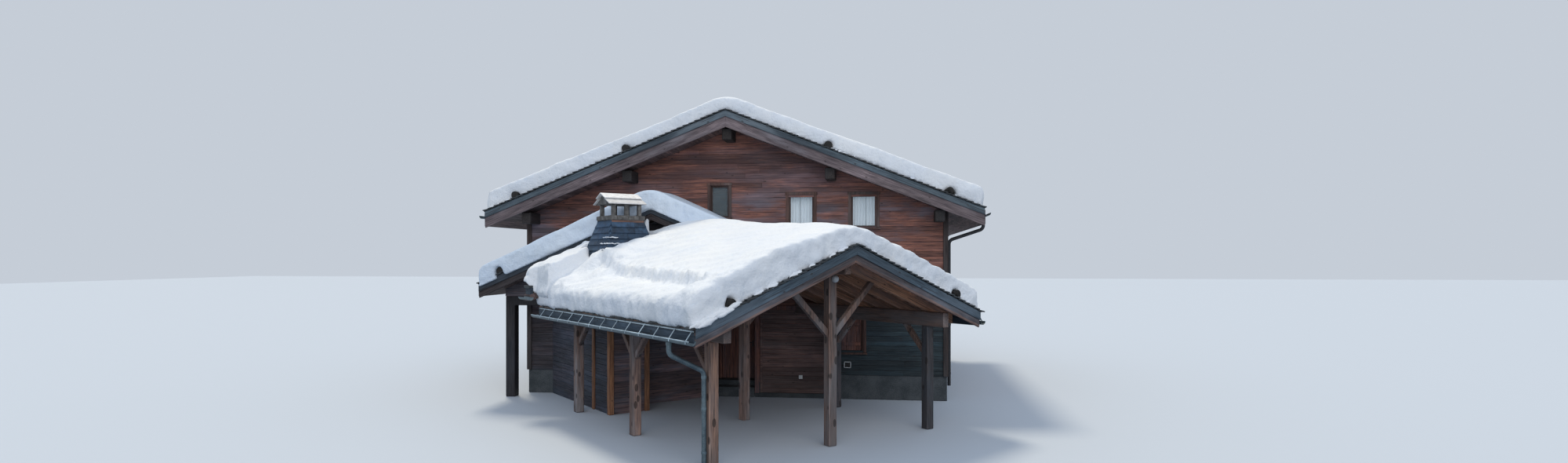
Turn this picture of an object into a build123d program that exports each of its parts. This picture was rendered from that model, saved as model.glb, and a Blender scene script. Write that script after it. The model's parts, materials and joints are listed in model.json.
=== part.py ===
from build123d import *
from math import cos, radians, sin, sqrt
import os

# Main house: its front gable faces -Y, and the origin is on the ground at the middle of its footprint
house_width = 11640
house_depth = 9600
wall_thickness = 200
plinth_height = 650
storey_height = 2750
upper_floor_top = 3100
upper_floor_thickness = 250
house_floor = 410
garage_floor = 120

# Main roof
main_ridge = 7700
main_rise = 0.394
main_half_span = 6700
main_roof_thickness = 400
main_front_overhang = 860
barge_thickness = 45
barge_drop = 40
purlin_width = 260
purlin_height = 300
purlin_places = (0, 2750, 5600)
purlin_setback = 220

# Annex: the lower gable that stands in front of the left part of the main gable
annex_ridge_x = -1830
annex_ridge = 5150
annex_rise = 0.435
annex_left_span = 4710
annex_right_span = 3030
annex_roof_thickness = 330
annex_rake_distance = 1500
annex_wall_distance = 750
annex_wall_thickness = 150
annex_wall_inset = 100
porch_post_x = -6010
porch_post_side = 260
porch_beam_height = 250
porch_beam_end = -4100

# Carport: a turned timber frame, set out from its middle front post
carport_turn = 42.8
carport_x = 3073
carport_distance = 5427
post_side = 200
carport_half_width = 2790
bay_length = 3200
bay_count = 2
carport_ridge = 4050
carport_rise = 0.401
carport_half_span = 3590
carport_front_overhang = 840
carport_left_length = 6930
carport_deck = 120
carport_barge_drop = 180
eave_board_thickness = 35
rafter_depth = 200
rafter_width = 80
rafter_spacing = 800
eave_beam_bottom = 2290
eave_beam_height = 320
beam_width = 160
beam_front_end = 560
ridge_beam_height = 250
brace_side = 110
brace_reach = 650
ridge_brace_foot = 2200
ridge_brace_depth = 170

# Turned wing behind the carport, and the raised strip of roof over it
wing_setback = 530
wing_front = carport_left_length - wing_setback
wing_wall = 200
wing_wall_right = 1600
wing_raise = 380
wing_roof_half_span = 3850
wing_roof_start = wing_front - 200
wing_roof_end = wing_front + 900
wing_back_eave = 2650
wing_back_end = wing_front + 2200
wing_deck = 150

# Chimney
breast_side = 950
breast_left = -2310
breast_front = wing_front - 810
stack_side = 760
stack_low = 3000
skirt_bottom_z = 3700
skirt_foot_z = 3000
skirt_top_z = 4720
skirt_bottom_side = 1420
skirt_top_side = 790
skirt_courses = 7
skirt_lip = 15
crown_side = 880
crown_height = 120
pillar_side = 95
pillar_inset = 50
pillar_height = 280
cap_overhang = 30
cap_rise = 260
cap_thickness = 45

# Doors
recess_left = -450
recess_right = 650
recess_depth = 600
lining = 60
jamb_width = 72
jamb_depth = 150
door_gap = 8
door_thickness = 50
door_height = 2034
hinge_radius = 12
hinge_pin_radius = 6
hinge_clearance = 0.3
hinge_height = 60
hinge_strap = 70
hinge_strap_thickness = 4
hinge_lug = 14
hinge_lug_gap = 6
hinge_heights = (250, 1780)
handle_height = 1000
handle_inset = 70
handle_radius = 8
handle_stand = 35
handle_lever = 125
handle_plate = (40, 170, 8)
leaf_setback = 35
garage_left = 790
garage_right = 2780
garage_top = 2380
garage_door_thickness = 45
garage_sections = 5
garage_groove = 12
garage_setback = 70

# Windows: opening width and height, casing and sash
window_width = 690
window_height = 880
low_window_height = 1000
sash = 50
sash_depth = 70
casing = 60
casing_proud = 25
sash_setback = 40
reveal_lining = 12
shutter_setback = 50
shutter_thickness = 30
glass_thickness = 20
upper_sill = 4620
low_sill = 1300

# Water goods, logs and snow
gutter_radius = 75
gutter_wall = 4
main_gutter_drop = 120
carport_gutter_drop = 210
wing_gutter_drop = 40
pipe_gap = 15
pipe_foot = 30
main_pipe_foot = 400
pipe_radius = 45
pipe_wall = 3
log_radius = 100
log_melt = 15
main_log_places = (2720, 5830)
annex_log_place = 4100
carport_logs = ((-2880, 6700), (2840, 5400))
snow_depth_main = (430, 560)
snow_depth_annex = (500, 450)
snow_depth_wing = 680
snow_swell = 1800
carport_snow = ((-800, 420), (1600, 590), (9000, 740))
carport_snow_left = (700, 620)
carport_snow_right = (530, 500)
snow_edge_radius = 260
snow_crest_radius = 900
snow_rake_setback = 40

front_y = -house_depth / 2
back_y = house_depth / 2
annex_rake_y = front_y - annex_rake_distance
annex_wall_y = front_y - annex_wall_distance
along_gable = (cos(radians(carport_turn)), sin(radians(carport_turn)), 0)
along_ridge = (-sin(radians(carport_turn)), cos(radians(carport_turn)), 0)
carport_y = front_y - carport_distance
far = 20000

carport_ground = Plane(origin=(carport_x, carport_y, 0), x_dir=along_gable, z_dir=(0, 0, 1))
os.makedirs("parts", exist_ok=True)


def house_section(y):
    """The upright plane across the main house at y, seen from the front."""
    return Plane.XZ.offset(-y)


def carport_section(distance):
    """The upright plane across the carport, this far behind its front posts, seen from the front."""
    origin = [carport_x + distance * along_ridge[0], carport_y + distance * along_ridge[1], 0]
    return Plane(origin=origin, x_dir=along_gable, z_dir=[-value for value in along_ridge])


def outline(plane, *points):
    with BuildSketch(plane) as shape:
        with BuildLine():
            Polyline(*points, close=True)
        make_face()
    return shape.sketch


def block(x, y, z, mode=Mode.ADD):
    """A box between two values on each axis of the block's own plane."""
    with Locations(((x[0] + x[1]) / 2, (y[0] + y[1]) / 2, (z[0] + z[1]) / 2)):
        Box(x[1] - x[0], y[1] - y[0], z[1] - z[0], mode=mode)


def roof_line(ridge, rise, distance):
    return ridge - rise * abs(distance)


def carport_to_house(across, back):
    """The plan point that lies this far across the carport and behind its front posts."""
    x = carport_x + across * along_gable[0] + back * along_ridge[0]
    y = carport_y + across * along_gable[1] + back * along_ridge[1]
    return x, y


def slope_profile(ridge, rise, inner, outer, top, bottom):
    """Section of one roof slope between two distances from the ridge, from top to bottom below the tile line."""
    return [
        (inner, roof_line(ridge, rise, inner) - top),
        (outer, roof_line(ridge, rise, outer) - top),
        (outer, roof_line(ridge, rise, outer) - bottom),
        (inner, roof_line(ridge, rise, inner) - bottom),
    ]


def shift(points, distance):
    return [(x + distance, z) for x, z in points]


def save(piece, name):
    piece.part.label = name
    export_step(piece.part, f"parts/{name}.step")


def cut_behind(y, left=-far, right=far, bottom=0, top=far):
    """Takes away all that lies behind y between two values of x, in the house's directions."""
    region = outline(Plane.XY.offset(bottom), (left, y), (right, y), (right, far), (left, far))
    extrude(region, amount=top - bottom, mode=Mode.SUBTRACT)


def cut_below_tiles(ridge, start, length, side):
    """Takes away all that lies below the tile line of one slope of the turned roofs."""
    reach = side * 5000
    region = outline(carport_section(start), (0, 0), (reach, 0), (reach, roof_line(ridge, carport_rise, reach)),
                     (0, ridge))
    extrude(region, amount=-length, mode=Mode.SUBTRACT)


def cut_carport_block(across, back, bottom=0, top=far):
    corners = [(across[0], back[0]), (across[1], back[0]), (across[1], back[1]), (across[0], back[1])]
    region = outline(carport_ground.offset(bottom), *corners)
    extrude(region, amount=top - bottom, mode=Mode.SUBTRACT)


# Windows, as (centre along the wall, sill height, width, height) on each wall
front_windows = [
    (-320, 4900, 520, window_height),
    (1930, upper_sill, window_width, window_height),
    (3620, upper_sill, window_width, window_height),
]
shuttered_window = (3290, 1260, 640, 980)
back_windows = [(x, upper_sill, window_width, window_height) for x in (-2400, 0, 2400)]
back_windows += [(x, low_sill, window_width, low_window_height) for x in (-3600, 0, 3600)]
side_windows = [(y, low_sill, window_width, low_window_height) for y in (-2700, 0, 2700)]


def window_holes(windows, place):
    """Cuts window openings; place turns a distance along the wall into a plan point."""
    for along, sill, width, height in windows:
        x, y, turned = place(along)
        size_x, size_y = (2 * wall_thickness, width) if turned else (width, 2 * wall_thickness)
        with Locations((x, y, sill + height / 2)):
            Box(size_x, size_y, height, mode=Mode.SUBTRACT)


def on_front(along):
    return along, front_y + wall_thickness / 2, False


def on_back(along):
    return along, back_y - wall_thickness / 2, False


def on_left(along):
    return -house_width / 2 + wall_thickness / 2, along, True


def on_right(along):
    return house_width / 2 - wall_thickness / 2, along, True


half_width = house_width / 2
roof_underside = main_ridge - main_roof_thickness
wall_top_outer = roof_line(roof_underside, main_rise, half_width)
wall_top_inner = roof_line(roof_underside, main_rise, half_width - wall_thickness)
purlin_tops = {x: roof_line(roof_underside, main_rise, x + purlin_width / 2) for x in purlin_places}
purlin_start = front_y - main_front_overhang + purlin_setback
purlin_end = -purlin_start


def purlins(mode=Mode.ADD):
    """The purlins, or the seats that the walls have for them, which are open up to the roof."""
    clear = purlin_width * main_rise if mode == Mode.SUBTRACT else 0
    for distance in purlin_places:
        for side in (-1, 1) if distance else (1,):
            x = side * distance
            top = purlin_tops[distance]
            block((x - purlin_width / 2, x + purlin_width / 2), (purlin_start, purlin_end),
                  (top - purlin_height, top + clear), mode)


# Concrete plinth, open at the entrance and the garage, with a short pier between the two
floor_x = half_width - wall_thickness
floor_y = back_y - wall_thickness
with BuildPart() as plinth:
    block((-half_width, half_width), (front_y, back_y), (0, plinth_height))
    block((-floor_x, floor_x), (-floor_y, floor_y), (0, plinth_height), Mode.SUBTRACT)
    block((recess_left, garage_right), (front_y, -floor_y), (0, plinth_height), Mode.SUBTRACT)
    block((recess_right, garage_left), (front_y, -floor_y), (0, house_floor))
save(plinth, "plinth")

# Floors: the garage lies lower than the rooms
with BuildPart() as ground_floor:
    extrude(outline(house_section(-floor_y), (-floor_x, 0), (floor_x, 0), (floor_x, garage_floor),
                    (garage_left, garage_floor), (garage_left, house_floor), (-floor_x, house_floor)),
            amount=-2 * floor_y)
    block((recess_left, recess_right), (-floor_y, front_y + recess_depth), (0, house_floor), Mode.SUBTRACT)
    block((garage_left, garage_right), (front_y, -floor_y), (0, garage_floor))
save(ground_floor, "ground_floor")

with BuildPart() as upper_floor:
    block((-floor_x, floor_x), (-floor_y, floor_y), (upper_floor_top - upper_floor_thickness, upper_floor_top))
save(upper_floor, "upper_floor")

# Main walls, in slabs beside and over the doors
with BuildPart() as front_walls:
    block((-half_width, recess_left), (front_y, -floor_y), (plinth_height, storey_height))
    block((garage_right, half_width), (front_y, -floor_y), (plinth_height, storey_height))
    window_holes([shuttered_window], on_front)
save(front_walls, "front_walls")

with BuildPart() as front_gable_wall:
    extrude(outline(house_section(front_y), (-half_width, storey_height), (half_width, storey_height),
                    (half_width, wall_top_outer), (0, roof_underside), (-half_width, wall_top_outer)),
            amount=-wall_thickness)
    window_holes(front_windows, on_front)
    purlins(Mode.SUBTRACT)
save(front_gable_wall, "front_gable_wall")

with BuildPart() as back_wall:
    extrude(outline(house_section(back_y - wall_thickness), (-half_width, plinth_height),
                    (half_width, plinth_height), (half_width, wall_top_outer), (0, roof_underside),
                    (-half_width, wall_top_outer)), amount=-wall_thickness)
    window_holes(back_windows, on_back)
    purlins(Mode.SUBTRACT)
save(back_wall, "back_wall")

with BuildPart() as side_walls:
    for side, place in ((-1, on_left), (1, on_right)):
        extrude(outline(house_section(-floor_y), (side * floor_x, plinth_height),
                        (side * half_width, plinth_height), (side * half_width, wall_top_outer),
                        (side * floor_x, wall_top_inner)), amount=-2 * floor_y)
        window_holes(side_windows, place)
    purlins(Mode.SUBTRACT)
save(side_walls, "side_walls")

with BuildPart() as main_purlins:
    purlins()
save(main_purlins, "main_purlins")

# Entrance: a recess with two steps, its side linings and the door's frame
door_wall_y = front_y + recess_depth
step_middle = front_y + recess_depth / 2
step_height = (garage_floor + house_floor) / 2
with BuildPart() as entrance_steps:
    block((recess_left, recess_right), (front_y, step_middle), (0, step_height))
    block((recess_left, recess_right), (step_middle, door_wall_y), (0, house_floor))
save(entrance_steps, "entrance_steps")

lining_back = door_wall_y + jamb_depth
with BuildPart() as entrance_linings:
    block((recess_left - lining, recess_left), (-floor_y, lining_back), (house_floor, storey_height))
    block((recess_right, garage_left), (front_y, lining_back), (house_floor, storey_height))
    block((recess_left, recess_right), (-floor_y, door_wall_y), (storey_height - lining, storey_height))
save(entrance_linings, "entrance_linings")

leaf_left = recess_left + jamb_width + door_gap
leaf_right = recess_right - jamb_width - door_gap
leaf_bottom = house_floor + door_gap
leaf_top = leaf_bottom + door_height
leaf_outer = door_wall_y + leaf_setback
leaf_inner = leaf_outer + door_thickness
hinge_x = leaf_left + hinge_radius
hinge_y = leaf_inner + hinge_radius

with BuildPart() as entrance_frame:
    block((recess_left, recess_left + jamb_width), (door_wall_y, lining_back), (house_floor, storey_height))
    block((recess_right - jamb_width, recess_right), (door_wall_y, lining_back), (house_floor, storey_height))
    block((recess_left, recess_right), (door_wall_y, lining_back), (leaf_top + door_gap, storey_height))
save(entrance_frame, "entrance_frame")

with BuildPart() as hinge_pins:
    for height in hinge_heights:
        middle = leaf_bottom + height
        with Locations((hinge_x, hinge_y, middle)):
            Cylinder(hinge_pin_radius, hinge_height + 2 * (hinge_lug + hinge_lug_gap))
        for end in (-1, 1):
            near = middle + end * (hinge_height / 2 + hinge_lug_gap)
            low, high = sorted((near, near + end * hinge_lug))
            block((recess_left + jamb_width, hinge_x + hinge_pin_radius),
                  (hinge_y - hinge_pin_radius, hinge_y + hinge_pin_radius), (low, high))
save(hinge_pins, "hinge_pins")

handle_x = leaf_right - handle_inset
handle_z = leaf_bottom + handle_height
with BuildPart() as entrance_door:
    block((leaf_left, leaf_right), (leaf_outer, leaf_inner), (leaf_bottom, leaf_top))
    for height in hinge_heights:
        with Locations((hinge_x, hinge_y, leaf_bottom + height)):
            Cylinder(hinge_radius, hinge_height)
        block((hinge_x, hinge_x + hinge_strap), (leaf_inner, leaf_inner + hinge_strap_thickness),
              (leaf_bottom + height - hinge_height / 2, leaf_bottom + height + hinge_height / 2))
        with Locations((hinge_x, hinge_y, leaf_bottom + height)):
            Cylinder(hinge_pin_radius + hinge_clearance, 2 * hinge_height, mode=Mode.SUBTRACT)
    with Locations(Location((handle_x, (leaf_outer + leaf_inner) / 2, handle_z), (90, 0, 0))):
        Cylinder(handle_radius, 2 * door_thickness, mode=Mode.SUBTRACT)
save(entrance_door, "entrance_door")

with BuildPart() as door_handle:
    with Locations(Location((handle_x, (leaf_outer + leaf_inner) / 2, handle_z), (90, 0, 0))):
        Cylinder(handle_radius, door_thickness + 2 * handle_stand + 2 * handle_radius)
    plate_width, plate_height, plate_thickness = handle_plate
    for face_y, away in ((leaf_outer, -1), (leaf_inner, 1)):
        plate = sorted((face_y, face_y + away * plate_thickness))
        lever = sorted((face_y + away * handle_stand, face_y + away * (handle_stand + 2 * handle_radius)))
        block((handle_x - plate_width / 2, handle_x + plate_width / 2), plate,
              (handle_z - 0.65 * plate_height, handle_z + 0.35 * plate_height))
        block((handle_x - handle_lever, handle_x + handle_radius), lever,
              (handle_z - handle_radius, handle_z + handle_radius))
save(door_handle, "door_handle")

# Garage door, closed, in level sections with a groove between them
panel_outer = front_y + garage_setback
section_height = (garage_top - garage_floor) / garage_sections
with BuildPart() as garage_door:
    block((garage_left, garage_right), (panel_outer, panel_outer + garage_door_thickness), (garage_floor, garage_top))
    for joint in range(1, garage_sections):
        height = garage_floor + joint * section_height
        block((garage_left, garage_right), (panel_outer, panel_outer + garage_groove),
              (height - garage_groove / 2, height + garage_groove / 2), Mode.SUBTRACT)
save(garage_door, "garage_door")

with BuildPart() as garage_lintel:
    block((garage_left, garage_right), (front_y, front_y + wall_thickness), (garage_top, storey_height))
save(garage_lintel, "garage_lintel")


def window_frame(along, sill, width, height, place, outward):
    """A sash in the opening and a casing round it on the outer face of the wall."""
    x, y, turned = place(along)
    middle = sill + height / 2
    face = wall_thickness / 2
    sash_face = face - sash_setback
    for size, low, high, hole in ((0, sash_face - sash_depth, sash_face, sash),
                                  (casing, face, face + casing_proud, 0),
                                  (0, sash_face, face, reveal_lining)):
        depth = high - low
        offset = outward * (low + high) / 2
        point = (x + offset, y, middle) if turned else (x, y + offset, middle)
        outer = (width + 2 * size, height + 2 * size)
        inner = (width - 2 * hole, height - 2 * hole)
        for (across, tall), mode in ((outer, Mode.ADD), (inner, Mode.SUBTRACT)):
            with Locations(point):
                if turned:
                    Box(depth, across, tall, mode=mode)
                else:
                    Box(across, depth, tall, mode=mode)


def window_pane(along, sill, width, height, place, outward):
    x, y, turned = place(along)
    offset = outward * (wall_thickness / 2 - sash_setback - sash_depth / 2)
    point = (x + offset, y, sill + height / 2) if turned else (x, y + offset, sill + height / 2)
    across, tall = width - 2 * sash, height - 2 * sash
    with Locations(point):
        if turned:
            Box(glass_thickness, across, tall)
        else:
            Box(across, glass_thickness, tall)


glazed = [(window, on_front, -1) for window in front_windows]
glazed += [(window, on_back, 1) for window in back_windows]
glazed += [(window, on_left, -1) for window in side_windows]
glazed += [(window, on_right, 1) for window in side_windows]

with BuildPart() as window_frames:
    for window, place, outward in glazed + [(shuttered_window, on_front, -1)]:
        window_frame(*window, place, outward)
save(window_frames, "window_frames")

with BuildPart() as window_glass:
    for window, place, outward in glazed:
        window_pane(*window, place, outward)
save(window_glass, "window_glass")

with BuildPart() as closed_shutter:
    along, sill, width, height = shuttered_window
    block((along - width / 2 + sash, along + width / 2 - sash), (front_y + shutter_setback, front_y + shutter_setback + shutter_thickness),
          (sill + sash, sill + height - sash))
save(closed_shutter, "closed_shutter")

# Main roof
rake_y = front_y - main_front_overhang
roof_start = rake_y + barge_thickness
for side, side_name in ((-1, "main_roof_left"), (1, "main_roof_right")):
    with BuildPart() as roof_slope:
        points = slope_profile(main_ridge, main_rise, 0, side * main_half_span, 0, main_roof_thickness)
        extrude(outline(house_section(roof_start), *points), amount=2 * roof_start)
    save(roof_slope, side_name)

with BuildPart() as main_barge_boards:
    for side in (-1, 1):
        points = slope_profile(main_ridge, main_rise, 0, side * main_half_span, 0, main_roof_thickness + barge_drop)
        for start in (rake_y, -roof_start):
            extrude(outline(house_section(start), *points), amount=-barge_thickness)
save(main_barge_boards, "main_barge_boards")

# Annex gable wall, its short side wall and the porch at its left end
annex_underside = annex_ridge - annex_roof_thickness
annex_wall_left = porch_post_x - porch_post_side / 2
annex_wall_right = annex_ridge_x + annex_right_span - annex_wall_inset


def annex_under(x):
    return roof_line(annex_underside, annex_rise, x - annex_ridge_x)


with BuildPart() as annex_gable_wall:
    extrude(outline(house_section(annex_wall_y), (annex_wall_left, storey_height),
                    (annex_wall_right, storey_height), (annex_wall_right, annex_under(annex_wall_right)),
                    (annex_ridge_x, annex_underside), (annex_wall_left, annex_under(annex_wall_left))),
            amount=-annex_wall_thickness)
    extrude(outline(house_section(annex_wall_y + annex_wall_thickness),
                    (annex_wall_right - annex_wall_thickness, storey_height), (annex_wall_right, storey_height),
                    (annex_wall_right, annex_under(annex_wall_right)),
                    (annex_wall_right - annex_wall_thickness, annex_under(annex_wall_right - annex_wall_thickness))),
            amount=-(annex_wall_distance - annex_wall_thickness))
save(annex_gable_wall, "annex_gable_wall")

with BuildPart() as annex_roof:
    for side, span in ((-1, annex_left_span), (1, annex_right_span)):
        points = slope_profile(annex_ridge, annex_rise, 0, side * span, 0, annex_roof_thickness)
        extrude(outline(house_section(annex_rake_y + barge_thickness), *shift(points, annex_ridge_x)),
                amount=-(annex_rake_distance - barge_thickness))
    cut_below_tiles(carport_ridge, 0, wing_back_end, 1)
save(annex_roof, "annex_roof")

with BuildPart() as annex_barge_boards:
    for side, span in ((-1, annex_left_span), (1, annex_right_span)):
        points = slope_profile(annex_ridge, annex_rise, 0, side * span, 0, annex_roof_thickness + barge_drop)
        extrude(outline(house_section(annex_rake_y), *shift(points, annex_ridge_x)), amount=-barge_thickness)
    cut_below_tiles(carport_ridge, 0, wing_back_end, 1)
save(annex_barge_boards, "annex_barge_boards")

with BuildPart() as porch_frame:
    beam_bottom = storey_height - porch_beam_height
    block((annex_wall_left, annex_wall_left + porch_post_side),
          (annex_wall_y, annex_wall_y + porch_post_side), (0, beam_bottom))
    block((annex_wall_left, porch_beam_end), (annex_wall_y, annex_wall_y + annex_wall_thickness),
          (beam_bottom, storey_height))
save(porch_frame, "porch_frame")

# Turned wing: its front wall rises into a gable, and its side wall runs back to the house
wing_ridge = carport_ridge + wing_raise
wing_under = wing_ridge - wing_deck
breast_right = breast_left + breast_side
breast_back = breast_front + breast_side
wing_wall_inner = breast_left + wing_wall
with BuildPart() as wing_walls:
    extrude(outline(carport_section(wing_front), (breast_right, 0), (wing_wall_right, 0),
                    (wing_wall_right, roof_line(wing_under, carport_rise, wing_wall_right)), (0, wing_under),
                    (breast_right, roof_line(wing_under, carport_rise, breast_right))), amount=-wing_wall)
    extrude(outline(carport_section(breast_back), (breast_left, 0), (wing_wall_inner, 0),
                    (wing_wall_inner, roof_line(wing_under, carport_rise, wing_wall_inner)),
                    (breast_left, roof_line(wing_under, carport_rise, breast_left))),
            amount=-far)
    cut_behind(front_y)
    cut_behind(annex_wall_y, bottom=storey_height)
    cut_behind(annex_wall_y, right=porch_beam_end, bottom=storey_height - porch_beam_height)
save(wing_walls, "wing_walls")

# Chimney: a boarded breast under the roof, then a stack with shingled skirt, crown and gabled cap
chimney_across = breast_left + breast_side / 2
chimney_back = breast_front + breast_side / 2
crown_bottom = skirt_top_z
crown_top = crown_bottom + crown_height
with BuildPart(carport_ground) as chimney_breast:
    block((breast_left, breast_right), (breast_front, breast_back), (0, stack_low))
    with Locations((chimney_across, chimney_back, (stack_low + crown_bottom) / 2)):
        Box(stack_side, stack_side, crown_bottom - stack_low)
save(chimney_breast, "chimney_breast")

chimney_plane = carport_ground.offset(0)
chimney_plane.origin = Vector(*carport_to_house(chimney_across, chimney_back), 0)
course_height = (skirt_top_z - skirt_bottom_z) / skirt_courses
course_step = (skirt_bottom_side - skirt_top_side) / skirt_courses
with BuildPart() as chimney_skirt:
    for course in range(skirt_courses):
        low_side = skirt_bottom_side - course * course_step
        high_side = low_side - course_step
        with BuildSketch(chimney_plane.offset(skirt_bottom_z + course * course_height)):
            Rectangle(low_side + 2 * skirt_lip, low_side + 2 * skirt_lip)
        with BuildSketch(chimney_plane.offset(skirt_bottom_z + (course + 1) * course_height)):
            Rectangle(high_side, high_side)
        loft()
    with BuildSketch(chimney_plane.offset(skirt_foot_z)):
        Rectangle(skirt_bottom_side, skirt_bottom_side)
    extrude(amount=skirt_bottom_z - skirt_foot_z)
    with BuildSketch(chimney_plane.offset(skirt_foot_z)):
        Rectangle(stack_side, stack_side)
    extrude(amount=skirt_top_z - skirt_foot_z, mode=Mode.SUBTRACT)
    cut_below_tiles(carport_ridge, 0, wing_roof_start, -1)
    cut_below_tiles(wing_ridge, wing_roof_start, wing_back_end - wing_roof_start, -1)
save(chimney_skirt, "chimney_skirt")

pillar_top = crown_top + pillar_height
with BuildPart() as chimney_crown:
    with BuildSketch(chimney_plane.offset(crown_bottom)):
        Rectangle(crown_side, crown_side)
    extrude(amount=crown_height)
    with BuildSketch(chimney_plane.offset(crown_top)):
        reach = crown_side - 2 * pillar_inset - pillar_side
        with GridLocations(reach / 2, reach, 3, 2):
            Rectangle(pillar_side, pillar_side)
    extrude(amount=pillar_height)
save(chimney_crown, "chimney_crown")

cap_half = crown_side / 2 + cap_overhang
with BuildPart() as chimney_cap:
    side_plane = Plane(origin=chimney_plane.origin - chimney_plane.x_dir * cap_half,
                       x_dir=chimney_plane.y_dir, z_dir=chimney_plane.x_dir)
    extrude(outline(side_plane, (-cap_half, pillar_top), (cap_half, pillar_top),
                    (cap_half, pillar_top + cap_thickness), (0, pillar_top + cap_rise + cap_thickness),
                    (-cap_half, pillar_top + cap_thickness)), amount=2 * cap_half)
save(chimney_cap, "chimney_cap")

# Carport posts and beams
post_rows = [row * bay_length for row in range(bay_count + 1)]
ridge_beam_top = carport_ridge - carport_deck - rafter_depth
ridge_beam_bottom = ridge_beam_top - ridge_beam_height
right_beam_end = 5200
right_gutter_end = 4600
post_places = [(across, row) for row in post_rows[:2] for across in (-carport_half_width, 0, carport_half_width)]
post_places.append((-carport_half_width, post_rows[2]))
with BuildPart(carport_ground) as carport_posts:
    for across, back in post_places:
        top = eave_beam_bottom if across else ridge_beam_bottom
        block((across - post_side / 2, across + post_side / 2), (back - post_side / 2, back + post_side / 2), (0, top))
save(carport_posts, "carport_posts")


def eave_beams(mode=Mode.ADD):
    for side, end in ((-1, post_rows[2] + post_side), (1, right_beam_end)):
        middle = side * carport_half_width
        block((middle - beam_width / 2, middle + beam_width / 2), (-beam_front_end, end),
              (eave_beam_bottom, eave_beam_bottom + eave_beam_height), mode)


def ridge_beam_block(mode=Mode.ADD):
    block((-beam_width / 2, beam_width / 2), (-beam_front_end, wing_front), (ridge_beam_bottom, ridge_beam_top), mode)


with BuildPart(carport_ground) as carport_beams:
    eave_beams()
    ridge_beam_block()
    cut_behind(front_y)
    cut_behind(annex_wall_y, right=annex_wall_right)
save(carport_beams, "carport_beams")

# Knee braces: in the gable plane at the ridge posts, and along the eave beams
rafter_under = carport_ridge - carport_deck - rafter_depth


def ridge_brace_end(foot):
    """Where a brace that rises at 45 degrees from the post's face meets the underside of the rafters."""
    across = (rafter_under - foot + post_side / 2) / (1 + carport_rise)
    return across, roof_line(rafter_under, carport_rise, across)


with BuildPart() as carport_braces:
    for row in post_rows[:2]:
        for side in (-1, 1):
            low, high = ridge_brace_end(ridge_brace_foot), ridge_brace_end(ridge_brace_foot + ridge_brace_depth)
            points = [(post_side / 2, ridge_brace_foot), low, high,
                      (post_side / 2, ridge_brace_foot + ridge_brace_depth)]
            extrude(outline(carport_section(row - brace_side / 2), *[(side * x, z) for x, z in points]),
                    amount=-brace_side)
    width = brace_side * sqrt(2)
    for across, row, direction in ((-1, 0, 1), (-1, 1, -1), (-1, 1, 1), (-1, 2, -1), (1, 0, 1), (1, 1, -1), (1, 1, 1)):
        start = post_rows[row] + direction * post_side / 2
        plane = Plane(origin=(*carport_to_house(across * carport_half_width - brace_side / 2, start), 0),
                      x_dir=along_ridge, z_dir=along_gable)
        top = eave_beam_bottom
        points = [(0, top - brace_reach), (direction * brace_reach, top), (direction * (brace_reach - width), top),
                  (0, top - brace_reach + width)]
        extrude(outline(plane, *points), amount=brace_side)
    cut_behind(front_y)
save(carport_braces, "carport_braces")

# Carport rafters, notched over the beams
rafter_count = int(carport_left_length / rafter_spacing) + 1
rafter_start = -carport_front_overhang + barge_thickness
with BuildPart(carport_ground) as carport_rafters:
    for start in [rafter_start] + [row * rafter_spacing - rafter_width / 2 for row in range(rafter_count)]:
        for side in (-1, 1):
            points = slope_profile(carport_ridge, carport_rise, 0, side * (carport_half_span - eave_board_thickness),
                                   carport_deck, carport_deck + rafter_depth)
            extrude(outline(carport_section(start), *points), amount=-rafter_width)
    eave_beams(Mode.SUBTRACT)
    ridge_beam_block(Mode.SUBTRACT)
    cut_carport_block((breast_left, far), (wing_front, far))
    cut_carport_block((breast_left, breast_right), (breast_front, breast_back), top=stack_low)
    cut_carport_block((chimney_across - stack_side / 2, chimney_across + stack_side / 2),
                      (chimney_back - stack_side / 2, chimney_back + stack_side / 2))
    cut_behind(annex_wall_y, right=annex_wall_right)
    cut_behind(front_y)
save(carport_rafters, "carport_rafters")

# Carport roof: it ends against the house, the annex, the wing and the stack
for side, side_name, length in ((-1, "carport_roof_left", carport_left_length), (1, "carport_roof_right", 9000)):
    with BuildPart() as carport_slope:
        points = slope_profile(carport_ridge, carport_rise, 0, side * carport_half_span, 0, carport_deck)
        extrude(outline(carport_section(rafter_start), *points), amount=-(length - rafter_start))
        cut_carport_block((breast_left, far), (wing_front, far))
        cut_carport_block((chimney_across - stack_side / 2, chimney_across + stack_side / 2),
                          (chimney_back - stack_side / 2, chimney_back + stack_side / 2))
        cut_behind(annex_wall_y, right=annex_wall_right)
        cut_behind(front_y)
    save(carport_slope, side_name)

# Barge boards along the front slopes, and eave boards over the ends of the rafters
barge_depth = carport_deck + carport_barge_drop
with BuildPart() as carport_barge_boards:
    for side in (-1, 1):
        points = slope_profile(carport_ridge, carport_rise, 0, side * carport_half_span, 0, barge_depth)
        extrude(outline(carport_section(-carport_front_overhang), *points), amount=-barge_thickness)
        inner, outer = side * (carport_half_span - eave_board_thickness), side * carport_half_span
        bottom = roof_line(carport_ridge, carport_rise, outer) - barge_depth
        eave_points = [(inner, roof_line(carport_ridge, carport_rise, inner) - carport_deck),
                       (outer, roof_line(carport_ridge, carport_rise, outer) - carport_deck),
                       (outer, bottom), (inner, bottom)]
        extrude(outline(carport_section(rafter_start), *eave_points), amount=-(carport_left_length - rafter_start))
    cut_behind(front_y)
save(carport_barge_boards, "carport_barge_boards")

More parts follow.
